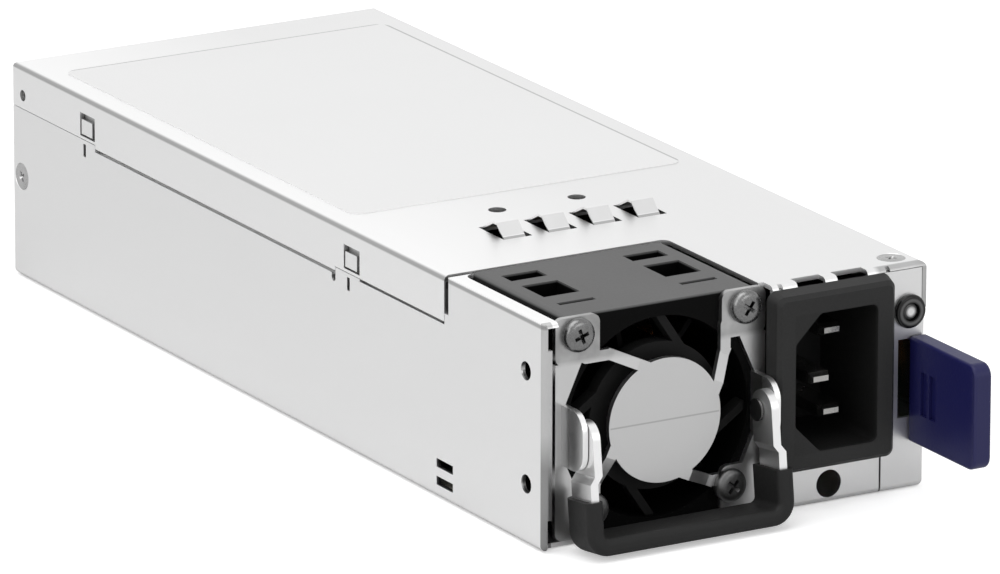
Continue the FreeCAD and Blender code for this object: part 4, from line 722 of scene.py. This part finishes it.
def pick(kind, test):
    """Selects the faces or edges of the mesh in edit mode that pass a test."""
    bpy.ops.mesh.select_mode(type=kind)
    bpy.ops.mesh.select_all(action="DESELECT")
    shape = bmesh.from_edit_mesh(bpy.context.object.data)
    for part in (shape.faces if kind == "FACE" else shape.edges):
        if test(part):
            part.select_set(True)
    bmesh.update_edit_mesh(bpy.context.object.data)


def settle(piece, name, body, finish, angle=35.0):
    """Names a finished piece, moves its place into its mesh, and puts it on its body."""
    deselect()
    piece.select_set(True)
    bpy.context.view_layer.objects.active = piece
    bpy.ops.object.transform_apply(location=True, rotation=True, scale=True)
    bpy.ops.object.shade_smooth_by_angle(angle=math.radians(angle))
    piece.name = name
    piece.data.name = name
    piece.data.materials.clear()
    piece.data.materials.append(finish.material)
    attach(piece, body)
    print(name, len(piece.data.polygons), "faces")
    return piece


# %% [markdown]
# ## Label plate
# Most of the cover is taken by a thin, bare label. It is a rounded rectangle about a tenth of a millimetre
# thick, extruded from a plane so that it has a real edge, and a fine line of painted shadow runs along its
# rear and right edges.

# %% Label plate
# millimetres from the left and the front
LABEL = {"left": 4.3, "right": 69.0, "front": 70.5, "rear": 174.0}
LABEL_THICK = 0.12 * MM
LABEL_CORNER = 2.2 * MM
REAR_LINE = 0.35             # millimetres wide, along the rear edge
RIGHT_LINE = 0.4             # the same along the right edge
EDGE_SHADOW_GREY = 0.30


def label_film():
    finish = Finish("label_film", Specular_IOR_Level=0.4)
    fine = finish.noise(1400.0, 2.0)
    cloud = finish.noise(24.0, 3.0)
    tone = finish.blend(cloud * 0.6 + fine * 0.4, grey(0.755), grey(0.81))
    # Painted shadow lines along the label's rear and right edges
    rear_shadow_line = finish.y.above(from_front(LABEL["rear"] - REAR_LINE), 0.1 * MM)
    right_shadow_line = finish.x.above(from_left(LABEL["right"] - RIGHT_LINE), 0.1 * MM)
    finish.set(Base_Color=finish.blend(rear_shadow_line.high(right_shadow_line) * 0.7, tone, grey(EDGE_SHADOW_GREY)))
    finish.set(Roughness=0.42 + (fine - 0.5) * 0.1 + (cloud - 0.5) * 0.08)
    finish.bump(cloud * 4 + fine * 0.15, 0.00003, 0.4)
    return finish


def add_label():
    deselect()
    width = (LABEL["right"] - LABEL["left"]) * MM
    length = (LABEL["rear"] - LABEL["front"]) * MM
    place = Vector((from_left(LABEL["left"]) + width / 2, from_front(LABEL["front"]) + length / 2, TOP))
    bpy.ops.mesh.primitive_plane_add(size=1, location=place)
    label = bpy.context.object
    label.scale = (width, length, 1)
    bpy.ops.object.transform_apply(location=False, rotation=False, scale=True)
    edit_mode()
    bpy.ops.mesh.extrude_region_move(TRANSFORM_OT_translate={"value": (0, 0, LABEL_THICK)})
    pick("EDGE", lambda e: abs(e.verts[0].co.z - e.verts[1].co.z) > LABEL_THICK / 2)
    bpy.ops.mesh.bevel(offset=LABEL_CORNER, segments=6)
    bpy.ops.mesh.select_all(action="SELECT")
    bpy.ops.mesh.normals_make_consistent(inside=False)
    object_mode()
    settle(label, "label_plate", "case", label_film())


add_label()

# %% [markdown]
# ## Screws
# The guard is held by pan-head screws and the case by flush ones, all with a cross recess. The recess is
# what makes a screw look like one, so each head starts as a cylinder, its rim is bevelled, far enough for a
# dome on the pan heads, and two tapered bars are cut out of it with the Boolean modifier. A head is
# modelled once for each piece and copied to its places.

# %% Screw heads
HEAD_SIDES = 48
CROSS_WIDTH = 0.24           # of the arm's length
CROSS_TAPER = 0.45
PAN_RADIUS = 2.9 * MM
PAN_HEIGHT = 1.5 * MM
PAN_TOP = 0.5                # millimetres behind the front
PAN_INSET = 0.45             # of the radius
PAN_LIFT = 0.12              # of the height
PAN_ROUND = 0.62             # of the height
PAN_CROSS = (1.18, 0.62)     # arm by the radius, depth by the height
FLUSH_RADIUS = 2.45 * MM
FLUSH_DEPTH = 0.6 * MM
FLUSH_RIM = 0.16 * MM
FLUSH_ARM = 1.1              # of the radius
FLUSH_CUT = 0.5 * MM
FORWARD = (0, -1, 0)
# millimetres from the left and up, degrees turned
GUARD_HEADS = ((7.4, 35.8, 20), (39.4, 35.8, -35))
LOWER_HEADS = ((10.2, 5.5, 10), (36.6, 5.5, 50))
# millimetres from the left, the front and the bottom, outward direction, degrees turned
CASE_HEADS = (((0.02, 182.1, 18.5), (-1, 0, 0), 30), ((73.48, 182.1, 18.5), (1, 0, 0), 15),
              ((69.4, 4.6, 38.98), (0, 0, 1), 40))


def cross_cutter(size, depth):
    """Two crossed bars, narrower at the bottom, whose tops stand above z = 0."""
    bars = []
    for turn in (0, 90):
        deselect()
        bpy.ops.mesh.primitive_cube_add(size=1, location=(0, 0, 0))
        bar = bpy.context.object
        bar.scale = (size, size * CROSS_WIDTH, depth * 2)
        bar.rotation_euler = (0, 0, math.radians(turn))
        bpy.ops.object.transform_apply(location=True, rotation=True, scale=True)
        edit_mode()
        pick("FACE", lambda f: f.normal.z < -0.9)
        bpy.ops.transform.resize(value=(CROSS_TAPER, CROSS_TAPER, 1))
        object_mode()
        bars.append(bar)
    return bars


def recess(head, size, depth):
    for bar in cross_cutter(size, depth):
        cut = head.modifiers.new("cross", "BOOLEAN")
        cut.object = bar
        cut.operation = "DIFFERENCE"
        cut.solver = "EXACT"
        deselect()
        head.select_set(True)
        bpy.context.view_layer.objects.active = head
        bpy.ops.object.modifier_apply(modifier=cut.name)
        bpy.data.objects.remove(bar)


def disc(radius, height):
    """A short cylinder on z whose top is at z = 0."""
    deselect()
    bpy.ops.mesh.primitive_cylinder_add(vertices=HEAD_SIDES, radius=radius, depth=height,
                                        location=(0, 0, -height / 2))
    return bpy.context.object


def pan_head(radius, height):
    """A domed head on z: its top is at z = 0 and its seat at z = -height."""
    head = disc(radius, height)
    bpy.ops.object.transform_apply(location=True, rotation=True, scale=True)
    edit_mode()
    pick("FACE", lambda f: f.normal.z > 0.9)
    bpy.ops.mesh.inset(thickness=radius * PAN_INSET)
    bpy.ops.transform.translate(value=(0, 0, height * PAN_LIFT))
    pick("EDGE", lambda e: all(abs(v.co.z) < height * 0.01 for v in e.verts))
    bpy.ops.mesh.bevel(offset=height * PAN_ROUND, segments=5, profile=0.5)
    object_mode()
    recess(head, radius * PAN_CROSS[0], height * PAN_CROSS[1])
    return head


def flush_head(radius):
    """A flat head on z with a fine bevelled rim, seated in its countersink."""
    head = disc(radius, FLUSH_DEPTH)
    bpy.ops.object.transform_apply(location=True, rotation=True, scale=True)
    edit_mode()
    pick("EDGE", lambda e: all(abs(v.co.z) < 0.01 * MM for v in e.verts))
    bpy.ops.mesh.bevel(offset=FLUSH_RIM, segments=2)
    object_mode()
    recess(head, radius * FLUSH_ARM, FLUSH_CUT)
    return head


def place_heads(model, spots, name, node, finish):
    """Copies one head to each (place, outward direction, turn), then joins the copies into one piece."""
    copies = []
    for place, outward, turn in spots:
        copy = model.copy()
        copy.data = model.data.copy()
        bpy.context.scene.collection.objects.link(copy)
        facing = Vector(outward).to_track_quat("Z", "Y").to_matrix().to_4x4()
        copy.location = place
        copy.rotation_euler = facing.to_euler()
        copy.rotation_euler.rotate_axis("Z", math.radians(turn))
        copies.append(copy)
    bpy.data.objects.remove(model)
    deselect()
    for copy in copies:
        copy.select_set(True)
    bpy.context.view_layer.objects.active = copies[0]
    if len(copies) > 1:
        bpy.ops.object.join()
    piece = settle(copies[0], name, "case", finish, angle=28.0)
    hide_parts(node)


def at(x, y, z):
    """A place given in millimetres from the case's left, front and bottom."""
    return Vector((from_left(x), from_front(y), z * MM))


def front_spots(heads):
    return [(at(x, PAN_TOP, z), FORWARD, turn) for x, z, turn in heads]


place_heads(pan_head(PAN_RADIUS, PAN_HEIGHT), front_spots(GUARD_HEADS),
            "guard_screw_heads", "guard_screws", head_steel)
place_heads(pan_head(PAN_RADIUS, PAN_HEIGHT), front_spots(LOWER_HEADS),
            "lower_screw_heads", "fan_screws", lower_head_shade_steel)
place_heads(flush_head(FLUSH_RADIUS), [(at(*place), outward, turn) for place, outward, turn in CASE_HEADS],
            "case_screw_heads", "case_screws", flush_steel)

# %% [markdown]
# ## Inlet pins
# A mains blade isn't a plain bar: its tip is tapered on all four sides so that the connector slides on. The
# bar is a cube at the pin's size. Its front face is extruded and made smaller, and the rim left behind it
# is moved back, so a small flat end catches the light while the tapers mirror the dark mouth.

# %% Pins
TIP_WIDTH = 0.72             # of the pin's own width and thickness
TIP_THICKNESS = 0.46
TIP_TAPER = 1.1 * MM


def on_rim(edge, size):
    """Whether an edge lies in the bar's front plane and on its outline, not round the smaller tip."""
    if any(abs(v.co.y + size.y / 2) > 0.01 * MM for v in edge.verts):
        return False
    return (all(abs(v.co.z) > size.z * 0.4 for v in edge.verts)
            or all(abs(v.co.x) > size.x * 0.4 for v in edge.verts))


def add_pin(node, name):
    low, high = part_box(node)
    size = high - low
    deselect()
    bpy.ops.mesh.primitive_cube_add(size=1, location=(low + high) / 2)
    pin = bpy.context.object
    pin.scale = size
    bpy.ops.object.transform_apply(location=False, rotation=False, scale=True)
    edit_mode()
    pick("FACE", lambda f: f.normal.y < -0.9)
    bpy.ops.mesh.extrude_region_move(TRANSFORM_OT_translate={"value": (0, 0, 0)})
    bpy.ops.transform.resize(value=(TIP_WIDTH, 1, TIP_THICKNESS))
    pick("EDGE", lambda e: on_rim(e, size))
    bpy.ops.transform.translate(value=(0, TIP_TAPER, 0))
    bpy.ops.mesh.select_all(action="SELECT")
    bpy.ops.mesh.normals_make_consistent(inside=False)
    object_mode()
    piece = settle(pin, name, "case", pin_metal, angle=20.0)
    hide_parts(node)


for node in ("inlet_line_pin", "inlet_neutral_pin", "inlet_earth_pin"):
    add_pin(node, node + "_tapered")
